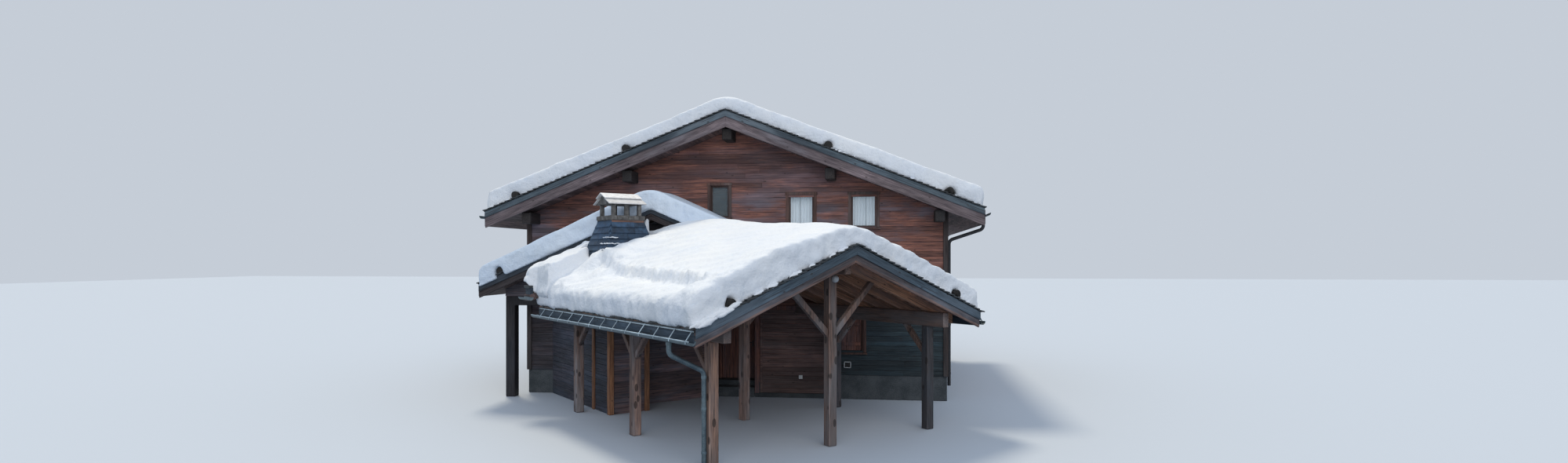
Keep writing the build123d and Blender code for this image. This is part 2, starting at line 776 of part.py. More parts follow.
with BuildPart() as wing_roof:
    points = slope_profile(wing_ridge, carport_rise, 0, -wing_roof_half_span, 0, wing_deck)
    extrude(outline(carport_section(wing_roof_start), *points), amount=-(wing_back_end - wing_roof_start))
    cut_carport_block((-far, -wing_back_eave), (wing_roof_end, far))
    cut_carport_block((chimney_across - stack_side / 2, chimney_across + stack_side / 2),
                      (chimney_back - stack_side / 2, chimney_back + stack_side / 2))
    cut_behind(annex_wall_y)
save(wing_roof, "wing_roof")


def half_pipe(plane, centre, length):
    """A gutter: the lower half of a tube, run along the plane's normal."""
    with BuildSketch(plane) as shape:
        with Locations(centre):
            Circle(gutter_radius)
            Circle(gutter_radius - gutter_wall, mode=Mode.SUBTRACT)
            with Locations((0, gutter_radius)):
                Rectangle(4 * gutter_radius, 2 * gutter_radius, mode=Mode.SUBTRACT)
    extrude(shape.sketch, amount=-length)


main_gutter_z = roof_line(main_ridge, main_rise, main_half_span) - main_gutter_drop
carport_eave_z = roof_line(carport_ridge, carport_rise, carport_half_span)
wing_eave_z = roof_line(wing_ridge, carport_rise, wing_roof_half_span)
with BuildPart() as gutters:
    for side, length in ((-1, carport_left_length + 200), (1, right_gutter_end)):
        half_pipe(house_section(rake_y), (side * (main_half_span + gutter_radius), main_gutter_z), -2 * rake_y)
        half_pipe(carport_section(-carport_front_overhang),
                  (side * (carport_half_span + gutter_radius), carport_eave_z - carport_gutter_drop),
                  carport_front_overhang + length)
    half_pipe(carport_section(wing_roof_start + 400), (-wing_roof_half_span - gutter_radius, wing_eave_z - wing_gutter_drop),
              wing_roof_end - wing_roof_start - 400)
    cut_behind(front_y, left=0, right=half_width, top=storey_height)
save(gutters, "gutters")


def downpipe(*points):
    with BuildLine() as route:
        FilletPolyline(*points, radius=140)
    with BuildSketch(Plane(origin=points[0], z_dir=(0, 0, -1))) as ring:
        Circle(pipe_radius)
        Circle(pipe_radius - pipe_wall, mode=Mode.SUBTRACT)
    sweep(ring.sketch, path=route.line)


carport_outlet = -carport_half_span - gutter_radius
pipe_beside_post = -carport_half_width - post_side / 2 - pipe_radius - pipe_gap
main_outlet = main_half_span + gutter_radius
pipe_beside_wall = half_width + pipe_radius + pipe_gap
with BuildPart() as downpipes:
    high = carport_eave_z - carport_gutter_drop - gutter_radius
    outlet = carport_to_house(carport_outlet, 0)
    beside = carport_to_house(pipe_beside_post, 0)
    downpipe((*outlet, high), (*outlet, high - 220), (*beside, high - 580), (*beside, pipe_foot))
    high = main_gutter_z - gutter_radius
    pipe_y = front_y + wall_thickness / 2
    downpipe((main_outlet, pipe_y, high), (main_outlet, pipe_y, high - 300),
             (pipe_beside_wall, pipe_y, high - 600), (pipe_beside_wall, pipe_y, main_pipe_foot))
save(downpipes, "downpipes")


def log_disc(plane, x, ridge, rise, ridge_x, melt):
    """Section of a snow-stop log that lies on the tiles, or of the hollow round it in the snow."""
    height = roof_line(ridge, rise, x - ridge_x) + log_radius * sqrt(1 + rise ** 2)
    with BuildSketch(plane) as disc:
        with Locations((x, height)):
            Circle(log_radius + melt)
    return disc.sketch


def logs(mode=Mode.ADD):
    melt = log_melt if mode == Mode.SUBTRACT else 0
    for side in (-1, 1):
        for x in main_log_places:
            extrude(log_disc(house_section(rake_y), side * x, main_ridge, main_rise, 0, melt),
                    amount=2 * rake_y, mode=mode)
    extrude(log_disc(house_section(annex_rake_y), annex_ridge_x - annex_log_place, annex_ridge, annex_rise,
                     annex_ridge_x, melt), amount=-annex_rake_distance, mode=mode)
    for x, length in carport_logs:
        extrude(log_disc(carport_section(-carport_front_overhang), x, carport_ridge, carport_rise, 0, melt),
                amount=-length, mode=mode)


with BuildPart() as snow_logs:
    logs()
    cut_behind(front_y, left=0, right=half_width, top=storey_height + 500)
save(snow_logs, "snow_logs")


def snow_outline(plane, ridge, rise, base_x, cover_depths, ridge_x=0):
    """Section of a snow blanket with a round crest and round eaves, from the depth of snow at each distance."""
    base = [(x, roof_line(ridge, rise, x)) for x in base_x]
    cover = [(x, roof_line(ridge, rise, x) + depth) for x, depth in cover_depths]
    with BuildSketch(plane) as shape:
        with BuildLine():
            Polyline(*shift(base, ridge_x), *shift(cover, ridge_x), close=True)
        make_face()
        for x, z in cover:
            radius = snow_edge_radius if x in (base_x[0], base_x[-1]) else snow_crest_radius
            corner = shape.vertices().sort_by_distance((x + ridge_x, z, 0))[0]
            fillet(corner, radius)
    return shape.sketch


def gable_snow(plane, ridge, rise, left, right, depths, ridge_x=0):
    crest, eave = depths
    return snow_outline(plane, ridge, rise, (-left, 0, right), ((right, eave), (0, crest), (-left, eave)), ridge_x)


with BuildPart() as snow_main:
    extrude(gable_snow(house_section(rake_y + snow_rake_setback), main_ridge, main_rise, main_half_span,
                       main_half_span, snow_depth_main), amount=2 * (rake_y + snow_rake_setback))
    logs(Mode.SUBTRACT)
save(snow_main, "snow_main")

with BuildPart() as snow_annex:
    extrude(gable_snow(house_section(annex_rake_y + snow_rake_setback), annex_ridge, annex_rise, annex_left_span,
                       annex_right_span, snow_depth_annex, annex_ridge_x),
            amount=-(annex_rake_distance - snow_rake_setback - 2 * casing_proud))
    logs(Mode.SUBTRACT)
save(snow_annex, "snow_annex")

skirt_hole = skirt_bottom_side + 60
with BuildPart() as snow_carport:
    sections = []
    for distance, crest in carport_snow:
        (left_swell, left_eave), (right_swell, right_eave) = carport_snow_left, carport_snow_right
        depths = ((carport_half_span, right_eave), (snow_swell, right_swell), (0, crest),
                  (-snow_swell, left_swell), (-carport_half_span, left_eave))
        sections.append(snow_outline(carport_section(distance), carport_ridge, carport_rise,
                                     (-carport_half_span, 0, carport_half_span), depths))
    loft(sections, ruled=True)
    cut_carport_block((-far, 0), (wing_roof_start, far))
    strip = snow_outline(carport_section(wing_roof_start), wing_ridge, carport_rise, (-wing_roof_half_span, 0),
                         ((0, snow_depth_wing), (-wing_roof_half_span, snow_depth_wing)))
    extrude(strip, amount=-(wing_roof_end - wing_roof_start))
    cut_carport_block((chimney_across - skirt_hole / 2, chimney_across + skirt_hole / 2),
                      (chimney_back - skirt_hole / 2, chimney_back + skirt_hole / 2))
    cut_behind(annex_rake_y, right=annex_ridge_x + annex_right_span + 50)
    cut_behind(front_y)
    logs(Mode.SUBTRACT)
save(snow_carport, "snow_carport")
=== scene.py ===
# %% [markdown]
# # An alpine chalet under snow
# The chalet is a boarded timber house with a low gable in front, a turned open carport, a shingled chimney and
# deep snow on every roof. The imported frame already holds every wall, post and roof at its real size, so this
# lesson dresses it: boards on the walls, tiles at the roof edges, chamfered timber, sheet metal and soft snow.

# %% Load the frame
import json
import math
import random

import bpy
from mathutils import Euler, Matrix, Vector, noise

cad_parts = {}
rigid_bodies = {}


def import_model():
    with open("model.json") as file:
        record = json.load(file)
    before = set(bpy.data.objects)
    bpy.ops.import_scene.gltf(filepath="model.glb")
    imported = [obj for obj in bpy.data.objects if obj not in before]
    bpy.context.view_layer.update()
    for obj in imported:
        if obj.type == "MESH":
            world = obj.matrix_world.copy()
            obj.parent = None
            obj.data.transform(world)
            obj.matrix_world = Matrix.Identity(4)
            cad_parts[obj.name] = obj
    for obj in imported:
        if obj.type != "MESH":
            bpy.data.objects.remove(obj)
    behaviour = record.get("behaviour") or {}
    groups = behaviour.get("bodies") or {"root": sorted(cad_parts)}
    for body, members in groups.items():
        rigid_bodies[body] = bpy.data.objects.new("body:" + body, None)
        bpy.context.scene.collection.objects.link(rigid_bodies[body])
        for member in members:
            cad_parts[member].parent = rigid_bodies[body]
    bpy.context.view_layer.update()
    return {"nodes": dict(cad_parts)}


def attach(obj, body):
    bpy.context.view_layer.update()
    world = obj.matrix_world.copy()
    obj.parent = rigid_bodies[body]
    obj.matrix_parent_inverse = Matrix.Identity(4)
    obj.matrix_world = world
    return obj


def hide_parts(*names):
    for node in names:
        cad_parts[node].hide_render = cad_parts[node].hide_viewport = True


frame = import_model()
nodes = frame["nodes"]
chance = random.Random(11)

# %% [markdown]
# The driving sizes are those of the building itself, in metres. Most places below follow from them, so a board or
# a tile always sits on the roof or wall that carries it.

# %% Driving sizes of the house, the annex and the carport
HALF_WIDTH = 5.82
FRONT = -4.8
BACK = 4.8
PLINTH = 0.65
STOREY = 2.75
RIDGE = 7.70
SLOPE = 0.394
HALF_SPAN = 6.70
ROOF_DEPTH = 0.40
RAKE = FRONT - 0.86

ANNEX_X = -1.83
ANNEX_RIDGE = 5.15
ANNEX_SLOPE = 0.435
ANNEX_LEFT = 4.71
ANNEX_RIGHT = 3.03
ANNEX_DEPTH = 0.33
ANNEX_RAKE = FRONT - 1.5
ANNEX_WALL = FRONT - 0.75

TURN = math.radians(42.8)
CARPORT = Vector((3.073, FRONT - 5.427, 0))
EAVE_ROW = 2.79
CARPORT_RIDGE = 4.05
CARPORT_SLOPE = 0.401
CARPORT_SPAN = 3.59
CARPORT_RAKE = -0.84
CARPORT_BACK = 6.93
WING_RIDGE = CARPORT_RIDGE + 0.38
CHIMNEY = (-1.835, 6.065)
across_vector = Vector((math.cos(TURN), math.sin(TURN), 0))
back_vector = Vector((-math.sin(TURN), math.cos(TURN), 0))


def carport_point(across, back, height=0.0):
    """The point this far across the carport and this far behind its front posts."""
    return CARPORT + across_vector * across + back_vector * back + Vector((0, 0, height))


print("carport ridge runs back to", [round(v, 2) for v in carport_point(0, CARPORT_BACK)])

# %% [markdown]
# The camera stands in front of the house, a little to the right and nearly four metres up. Its lens is wide and
# it looks level, so upright posts stay upright, and a small shift brings the roofs into the frame.

# %% Camera
EYE = (4.145, -26.62, 3.83)
CAMERA_TURN = math.radians(7.017)
bpy.ops.object.select_all(action="DESELECT")
bpy.ops.object.camera_add(location=EYE, rotation=(math.radians(90), 0, CAMERA_TURN))
camera = bpy.context.active_object
camera.data.lens = 18.55
camera.data.sensor_width = 36
camera.data.shift_y = 0.01605
camera.data.clip_end = 300
bpy.context.scene.camera = camera
bpy.context.scene.view_settings.view_transform = "Standard"
print("camera at", [round(v, 2) for v in camera.location], "lens", camera.data.lens)

# %% [markdown]
# A few small helpers keep the node trees readable. Each adds one kind of node and hands back its result, and every
# input may be a plain value or a socket to link from.

# %% Helpers for node trees
def feed(tree, node, inputs):
    """Sets each input of a node, or links it where the value is a socket."""
    for name, value in inputs.items():
        if isinstance(value, bpy.types.NodeSocket):
            tree.links.new(value, node.inputs[name])
        else:
            node.inputs[name].default_value = value


def add_node(tree, kind, inputs=None, **settings):
    """Adds a node with its settings and its inputs."""
    made = tree.nodes.new(kind)
    for name, value in settings.items():
        setattr(made, name, value)
    feed(tree, made, inputs or {})
    return made


def new_material(name):
    """Starts a material, and hands back its node tree and its principled shader too."""
    material = bpy.data.materials.new(name)
    material.use_nodes = True
    return material, material.node_tree, material.node_tree.nodes["Principled BSDF"]


def new_group(name, inputs, outputs):
    """Starts a node group; the inputs and outputs are pairs of a name and a kind of socket."""
    group = bpy.data.node_groups.new(name, "ShaderNodeTree")
    for label, kind in inputs:
        group.interface.new_socket(name=label, in_out="INPUT", socket_type="NodeSocket" + kind)
    for label, kind in outputs:
        group.interface.new_socket(name=label, in_out="OUTPUT", socket_type="NodeSocket" + kind)
    return group, group.nodes.new("NodeGroupInput"), group.nodes.new("NodeGroupOutput")


def range_of(tree, value, low, high, to_low=0.0, to_high=1.0):
    """Stretches a value's range, with smooth ends."""
    made = add_node(tree, "ShaderNodeMapRange", {
        "Value": value, "From Min": low, "From Max": high, "To Min": to_low, "To Max": to_high,
    }, interpolation_type="SMOOTHSTEP")
    return made.outputs["Result"]


def mixed(tree, share, first, second):
    """A colour between two others."""
    return add_node(tree, "ShaderNodeMix", {0: share, 6: first, 7: second}, data_type="RGBA").outputs[2]


def sums(tree, operation, first, second=0.0):
    """One step of arithmetic."""
    return add_node(tree, "ShaderNodeMath", {0: first, 1: second}, operation=operation).outputs[0]


def brightened(tree, colour, value):
    """A colour made darker or lighter by a value near 1."""
    return add_node(tree, "ShaderNodeHueSaturation", {"Value": value, "Color": colour}).outputs[0]


def object_place(tree):
    """The place of a point in its object, in metres."""
    return add_node(tree, "ShaderNodeTexCoord").outputs["Object"]


def noise_of(tree, vector, scale, detail, rough=0.5):
    """Soft noise between 0 and 1."""
    return add_node(tree, "ShaderNodeTexNoise", {
        "Vector": vector, "Scale": scale, "Detail": detail, "Roughness": rough,
    }).outputs["Fac"]


def relief_of(tree, height, strength, depth):
    """The normal of a surface with a fine relief; its depth is in metres."""
    return add_node(tree, "ShaderNodeBump", {"Height": height, "Strength": strength, "Distance": depth}).outputs[0]


def seen_rays(tree):
    """1 for what is seen directly, in a gloss or through glass, and 0 for light on its way to something else."""
    rays = add_node(tree, "ShaderNodeLightPath").outputs
    direct = sums(tree, "MAXIMUM", rays["Is Camera Ray"], rays["Is Transmission Ray"])
    return sums(tree, "MAXIMUM", direct, rays["Is Glossy Ray"])


print("helpers ready")

# %% [markdown]
# Snow and dark timber need a soft light. A wide pale sky gives the light, a soft lamp high behind the roofs makes
# the tops of the snow brighter than its upright faces, and a weaker one fills the front. The floor looks pale, but
# throws back only a little light, so the open carport stays as dim as it is in real life.

# %% Light, sky and floor
BACKDROP = (0.56, 0.61, 0.68, 1)
FLOOR_BOUNCE = (0.13, 0.18, 0.25, 1)
world = bpy.data.worlds.new("studio_sky")
world.use_nodes = True
bpy.context.scene.world = world
tree = world.node_tree
sky = tree.nodes["Background"]
feed(tree, sky, {"Color": (0.68, 0.82, 1.0, 1), "Strength": 0.66})
backdrop = add_node(tree, "ShaderNodeBackground", {"Color": BACKDROP, "Strength": 1.0})
shown = add_node(tree, "ShaderNodeMixShader", {0: seen_rays(tree), 1: sky.outputs[0], 2: backdrop.outputs[0]})
tree.links.new(shown.outputs[0], tree.nodes["World Output"].inputs["Surface"])


def soft_sun(name, travel, energy, spread, colour):
    """A sun whose light travels this way; a wide angle makes its shadows soft."""
    bpy.ops.object.light_add(type="SUN")
    lamp = bpy.context.active_object
    lamp.name = name
    lamp.rotation_euler = Vector(travel).to_track_quat("-Z", "Y").to_euler()
    lamp.data.energy = energy
    lamp.data.angle = math.radians(spread)
    lamp.data.color = colour
    return lamp


key = soft_sun("key", (0.25, -0.42, -0.87), 1.74, 12, (1.0, 0.89, 0.70))
fill = soft_sun("fill", (-0.25, 0.82, -0.50), 0.97, 60, (1.0, 0.93, 0.86))
bpy.ops.mesh.primitive_plane_add(size=240, location=(0, 0, -0.004))
floor = bpy.context.active_object
floor.name = "studio_floor"
floor_finish, tree, surface = new_material("studio_floor_finish")
feed(tree, surface, {"Roughness": 0.9, "Base Color": mixed(tree, seen_rays(tree), FLOOR_BOUNCE, BACKDROP)})
floor.data.materials.append(floor_finish)
print("lamps", key.data.energy, fill.data.energy)

# %% [markdown]
# Old spruce boards are never one colour. Fibres run along each board, rain and sun turn patches grey, thin cracks
# open along the grain, and each board has its own tone. One group makes all of that from a vector whose X runs
# along the grain, and each timber material gives it its own colours.

# %% Weathered wood group
BOARD_TONES = (0.72, 1.25)
wood_group, given, result = new_group(
    "weathered_wood",
    [("Vector", "Vector"), ("Fresh", "Color"), ("Dark", "Color"), ("Grey", "Color"), ("Weathering", "Float"),
     ("Knots", "Float")],
    [("Color", "Color"), ("Roughness", "Float"), ("Height", "Float")],
)


def stretched_noise(tree, vector, stretch, scale, detail, rough=0.6):
    """Noise drawn out along the grain."""
    moved = add_node(tree, "ShaderNodeMapping", {"Vector": vector, "Scale": stretch}).outputs[0]
    return noise_of(tree, moved, scale, detail, rough)


along = given.outputs["Vector"]
fibres = stretched_noise(wood_group, along, (1.2, 26, 26), 1.6, 7, 0.68)
broad = stretched_noise(wood_group, along, (0.35, 1.7, 1.7), 1.3, 6)
blotches = stretched_noise(wood_group, along, (0.6, 1.6, 1.6), 0.70, 5)
cracks = stretched_noise(wood_group, along, (0.8, 34, 34), 1.5, 2, 0.4)
knot_vector = add_node(wood_group, "ShaderNodeMapping", {"Vector": along, "Scale": (2.7, 5.5, 5.5)})
knots = add_node(wood_group, "ShaderNodeTexVoronoi", {"Vector": knot_vector.outputs[0], "Scale": 1.0})
island = add_node(wood_group, "ShaderNodeNewGeometry").outputs["Random Per Island"]
base = mixed(wood_group, range_of(wood_group, fibres, 0.34, 0.68), given.outputs["Dark"], given.outputs["Fresh"])
dark_patch = range_of(wood_group, blotches, 0.50, 0.62, 0.0, 0.80)
patched = mixed(wood_group, dark_patch, base, given.outputs["Dark"])
grey_mask = range_of(wood_group, broad, 0.44, 0.66)
grey_share = sums(wood_group, "MULTIPLY", grey_mask, given.outputs["Weathering"])
greyed = mixed(wood_group, grey_share, patched, given.outputs["Grey"])
crack_mask = range_of(wood_group, cracks, 0.37, 0.30)
knot_reach = sums(wood_group, "SUBTRACT", given.outputs["Knots"], knots.outputs["Distance"])
knot_mask = range_of(wood_group, knot_reach, -0.03, 0.03)
hole_mask = sums(wood_group, "MAXIMUM", crack_mask, knot_mask)
holed = mixed(wood_group, sums(wood_group, "MULTIPLY", hole_mask, 0.75), greyed, (0.012, 0.008, 0.007, 1))
bleached = range_of(wood_group, stretched_noise(wood_group, along, (0.5, 2.2, 2.2), 0.9, 4), 0.50, 0.68, 1.0, 1.55)
board_tone = sums(wood_group, "MULTIPLY", range_of(wood_group, island, 0.0, 1.0, *BOARD_TONES), bleached)
fibre_height = sums(wood_group, "MULTIPLY", fibres, 0.6)
height = sums(wood_group, "SUBTRACT", fibre_height, sums(wood_group, "MULTIPLY", crack_mask, 0.5))
feed(wood_group, result, {
    "Color": brightened(wood_group, holed, board_tone), "Height": height,
    "Roughness": range_of(wood_group, fibres, 0.3, 0.7, 0.86, 0.62),
})
print("weathered wood group has", len(wood_group.nodes), "nodes")

# %% [markdown]
# Soffits are planked too, but nobody sees more of the planks than their joints. A second group draws those joints
# as dark grooves across a vector's Y and gives each plank its own tone.

# %% Plank joints group
plank_group, given, result = new_group("plank_joints", [("Vector", "Vector"), ("Width", "Float")],
                                       [("Gap", "Float"), ("Tone", "Float")])
split = add_node(plank_group, "ShaderNodeSeparateXYZ", {"Vector": given.outputs["Vector"]})
planks = sums(plank_group, "DIVIDE", split.outputs["Y"], given.outputs["Width"])
place_in_plank = sums(plank_group, "FRACT", planks, 0.0)
from_middle = sums(plank_group, "ABSOLUTE", sums(plank_group, "SUBTRACT", place_in_plank, 0.5), 0.0)
plank_number = sums(plank_group, "FLOOR", planks, 0.0)
plank_noise = add_node(plank_group, "ShaderNodeTexWhiteNoise", {"W": plank_number}, noise_dimensions="1D")
feed(plank_group, result, {"Gap": range_of(plank_group, from_middle, 0.455, 0.485),
                           "Tone": plank_noise.outputs["Value"]})
print("plank joints group has", len(plank_group.nodes), "nodes")

# %% [markdown]
# The grain has to follow each timber, whichever way it lies. A material turns the object's coordinates until X runs
# along the timber: by an angle about Z for walls, about Y for posts, and for roof slopes after folding the two
# sides of the gable onto each other, so that both sides share one direction.

# %% Wood materials
def turned_vector(tree, vector, angles):
    """A vector turned about the origin."""
    return add_node(tree, "ShaderNodeMapping", {"Vector": vector, "Rotation": angles}).outputs[0]


def grain_vector(tree, turn=0.0, upright=False, slope=None, ridge=(0, 0), across=False):
    """Object coordinates turned so that X runs along the grain."""
    shift = Vector((-ridge[0], -ridge[1], 0))
    moved = add_node(tree, "ShaderNodeVectorMath", {0: object_place(tree), 1: shift}, operation="ADD").outputs[0]
    vector = turned_vector(tree, moved, (0, 0, -turn))
    if upright:
        return turned_vector(tree, vector, (0, math.pi / 2, 0))
    if slope is not None:
        parts = add_node(tree, "ShaderNodeSeparateXYZ", {"Vector": vector}).outputs
        folded = add_node(tree, "ShaderNodeCombineXYZ", {
            "X": sums(tree, "ABSOLUTE", parts["X"]), "Y": parts["Y"], "Z": parts["Z"],
        }).outputs[0]
        vector = turned_vector(tree, folded, (0, -math.atan(slope), 0))
    if across:
        vector = turned_vector(tree, vector, (0, 0, -math.pi / 2))
    return vector


def wood(name, fresh, dark, grey=(0.12, 0.115, 0.115), weathering=0.6, knots=0.09, band=None, planks=None,
         **direction):
    """A timber finish. Band greys the wood between two heights; planks is the width of planks to draw."""
    material, tree, surface = new_material(name)
    vector = grain_vector(tree, **direction)
    if band:
        level = add_node(tree, "ShaderNodeSeparateXYZ", {"Vector": object_place(tree)}).outputs["Z"]
        rising = range_of(tree, level, band[0] - 0.7, band[0] + 0.2)
        falling = range_of(tree, level, band[1] + 0.6, band[1] - 0.1)
        inside = sums(tree, "MULTIPLY", sums(tree, "MULTIPLY", rising, falling), 0.75)
        weathering = sums(tree, "ADD", inside, weathering)
    grain = add_node(tree, "ShaderNodeGroup", {
        "Vector": vector, "Fresh": (*fresh, 1), "Dark": (*dark, 1), "Grey": (*grey, 1), "Weathering": weathering,
        "Knots": knots,
    }, node_tree=wood_group).outputs
    colour = grain["Color"]
    height = grain["Height"]
    if planks:
        joints = add_node(tree, "ShaderNodeGroup", {"Vector": vector, "Width": planks}, node_tree=plank_group).outputs
        tone = range_of(tree, joints["Tone"], 0.0, 1.0, *BOARD_TONES)
        colour = mixed(tree, joints["Gap"], brightened(tree, colour, tone), (0.01, 0.007, 0.006, 1))
        height = sums(tree, "SUBTRACT", height, sums(tree, "MULTIPLY", joints["Gap"], 1.5))
    feed(tree, surface, {
        "Base Color": colour, "Roughness": grain["Roughness"], "Normal": relief_of(tree, height, 0.5, 0.008),
    })
    return material


SIDING = {"fresh": (0.275, 0.108, 0.070), "dark": (0.088, 0.042, 0.040), "grey": (0.120, 0.096, 0.112)}
SHADED_SIDING = {"fresh": (0.026, 0.044, 0.052), "dark": (0.009, 0.018, 0.025), "grey": (0.024, 0.050, 0.066)}
FRAME_TIMBER = {"fresh": (0.27, 0.165, 0.125), "dark": (0.10, 0.068, 0.060), "grey": (0.20, 0.19, 0.195)}
BARGE_LOW = {"fresh": (0.165, 0.128, 0.132), "dark": (0.062, 0.048, 0.054), "grey": (0.215, 0.195, 0.215)}
BARGE_HIGH = {"fresh": (0.078, 0.108, 0.130), "dark": (0.030, 0.043, 0.056), "grey": (0.13, 0.16, 0.185)}
EAVE_BOARD = {"fresh": (0.040, 0.062, 0.090), "dark": (0.016, 0.030, 0.048), "grey": (0.060, 0.086, 0.115)}
# The carport's soffit and rafters are a bright orange: painted sunlight, standing in for the sun that falls under its
# roof.
SUNLIT_SOFFIT = {"fresh": (0.72, 0.36, 0.20), "dark": (0.28, 0.15, 0.10), "grey": (0.28, 0.20, 0.18)}
# The house's soffits are a darker copy of the same timber: painted shade under the eaves.
SHADED_SOFFIT = {"fresh": (0.155, 0.090, 0.078), "dark": (0.055, 0.038, 0.040), "grey": (0.10, 0.085, 0.092)}
DARK_TIMBER = {"fresh": (0.075, 0.046, 0.040), "dark": (0.024, 0.018, 0.018), "grey": (0.06, 0.058, 0.062)}
CARPORT_HIGH = {"fresh": (0.052, 0.080, 0.104), "dark": (0.020, 0.031, 0.044), "grey": (0.082, 0.108, 0.136)}
CARPORT_LOW = {"fresh": (0.088, 0.070, 0.070), "dark": (0.034, 0.030, 0.035), "grey": (0.092, 0.102, 0.120)}
# The purlin ends are nearly black: painted shade, for the shadow they sit in under the roof.
SHADED_PURLIN = {"fresh": (0.024, 0.017, 0.016), "dark": (0.009, 0.008, 0.008), "grey": (0.020, 0.019, 0.022)}
# The annex's verge boards are a dark blue: painted shade, for the shadow of the house.
SHADED_ANNEX_HIGH = {"fresh": (0.034, 0.046, 0.062), "dark": (0.014, 0.020, 0.028), "grey": (0.050, 0.066, 0.088)}
SHADED_ANNEX_LOW = {"fresh": (0.044, 0.033, 0.034), "dark": (0.017, 0.014, 0.016), "grey": (0.042, 0.042, 0.050)}
PORCH = {"fresh": (0.026, 0.022, 0.026), "dark": (0.009, 0.009, 0.013), "grey": (0.020, 0.024, 0.034)}
WING_SIDING = {"fresh": (0.16, 0.095, 0.088), "dark": (0.055, 0.045, 0.055), "grey": (0.095, 0.105, 0.135)}

siding_x = wood("siding_along_x", band=(4.4, 5.2), weathering=0.45, **SIDING)
siding_y = wood("siding_along_y", turn=math.pi / 2, weathering=0.6, **SIDING)
siding_turned = wood("siding_turned", turn=TURN, **WING_SIDING)
siding_turned_side = wood("siding_turned_side", turn=TURN + math.pi / 2, **SIDING)
siding_upright = wood("siding_upright", upright=True, **SIDING)
shaded_siding = wood("shaded_siding", weathering=0.5, **SHADED_SIDING)
dark_upright = wood("dark_upright", upright=True, **DARK_TIMBER)
porch_wood = wood("porch_wood", upright=True, **PORCH)
dark_timber_y = wood("dark_timber_y", turn=math.pi / 2, **DARK_TIMBER)
post_wood = wood("post_wood", upright=True, knots=0.23, weathering=0.75, **FRAME_TIMBER)
beam_wood_x = wood("beam_wood_along_x", **FRAME_TIMBER)
beam_wood_turned = wood("beam_wood_turned", turn=TURN + math.pi / 2, **FRAME_TIMBER)
main_barge_high = wood("main_barge_high", slope=SLOPE, weathering=0.8, **BARGE_HIGH)
main_barge_low = wood("main_barge_low", slope=SLOPE, weathering=0.8, **BARGE_LOW)
annex_ridge_place = (ANNEX_X, 0)
shaded_annex_barge_high = wood("shaded_annex_barge_high", slope=ANNEX_SLOPE, ridge=annex_ridge_place, weathering=0.8, **SHADED_ANNEX_HIGH)
shaded_annex_barge_low = wood("shaded_annex_barge_low", slope=ANNEX_SLOPE, ridge=annex_ridge_place, weathering=0.8, **SHADED_ANNEX_LOW)
turned_slope = {"turn": TURN, "slope": CARPORT_SLOPE, "ridge": CARPORT[:2]}
carport_barge_high = wood("carport_barge_high", weathering=0.8, **turned_slope, **CARPORT_HIGH)
carport_barge_low = wood("carport_barge_low", weathering=0.8, **turned_slope, **CARPORT_LOW)
sunlit_rafter_wood = wood("sunlit_rafter_wood", **turned_slope, **SUNLIT_SOFFIT)
eave_wood_turned = wood("eave_wood_turned", turn=TURN + math.pi / 2, weathering=0.8, **EAVE_BOARD)
eave_wood_y = wood("eave_wood_y", turn=math.pi / 2, weathering=0.8, **BARGE_LOW)
soffit_main = wood("soffit_main", slope=SLOPE, across=True, planks=0.14, weathering=0.3, **SHADED_SOFFIT)
soffit_annex = wood("soffit_annex", slope=ANNEX_SLOPE, ridge=annex_ridge_place, across=True, planks=0.14,
                    weathering=0.3, **SHADED_SOFFIT)
soffit_wing = wood("soffit_wing", across=True, planks=0.14, weathering=0.3, **turned_slope, **SHADED_SOFFIT)
sunlit_soffit_carport = wood("sunlit_soffit_carport", across=True, planks=0.14, weathering=0.15, **turned_slope, **SUNLIT_SOFFIT)
print("wood materials", len([m for m in bpy.data.materials if m.use_nodes]))

# %% [markdown]
# The other finishes are slates, shingles, zinc, iron, concrete, glass and snow. Each one mixes a large and a small
# noise, so that colour, roughness and relief all change over the surface, at the scale of the real material.

# %% Slate, metal and concrete materials
def mottled(name, light, dark, scale=6.0, rough=(0.5, 0.8), metallic=0.0, bump=0.3):
    """A finish with two sizes of mottling and a tone for each separate piece."""
    material, tree, surface = new_material(name)
    place = object_place(tree)
    large = sums(tree, "MULTIPLY", noise_of(tree, place, scale, 6, 0.6), 0.6)
    small = sums(tree, "MULTIPLY", noise_of(tree, place, scale * 14, 4), 0.4)
    both = sums(tree, "ADD", large, small)
    colour = mixed(tree, range_of(tree, both, 0.36, 0.64), (*dark, 1), (*light, 1))
    island = add_node(tree, "ShaderNodeNewGeometry").outputs["Random Per Island"]
    feed(tree, surface, {
        "Base Color": brightened(tree, colour, range_of(tree, island, 0.0, 1.0, 0.70, 1.25)),
        "Roughness": range_of(tree, both, 0.3, 0.7, *rough), "Metallic": metallic,
        "Normal": relief_of(tree, both, bump, 0.004),
    })
    return material


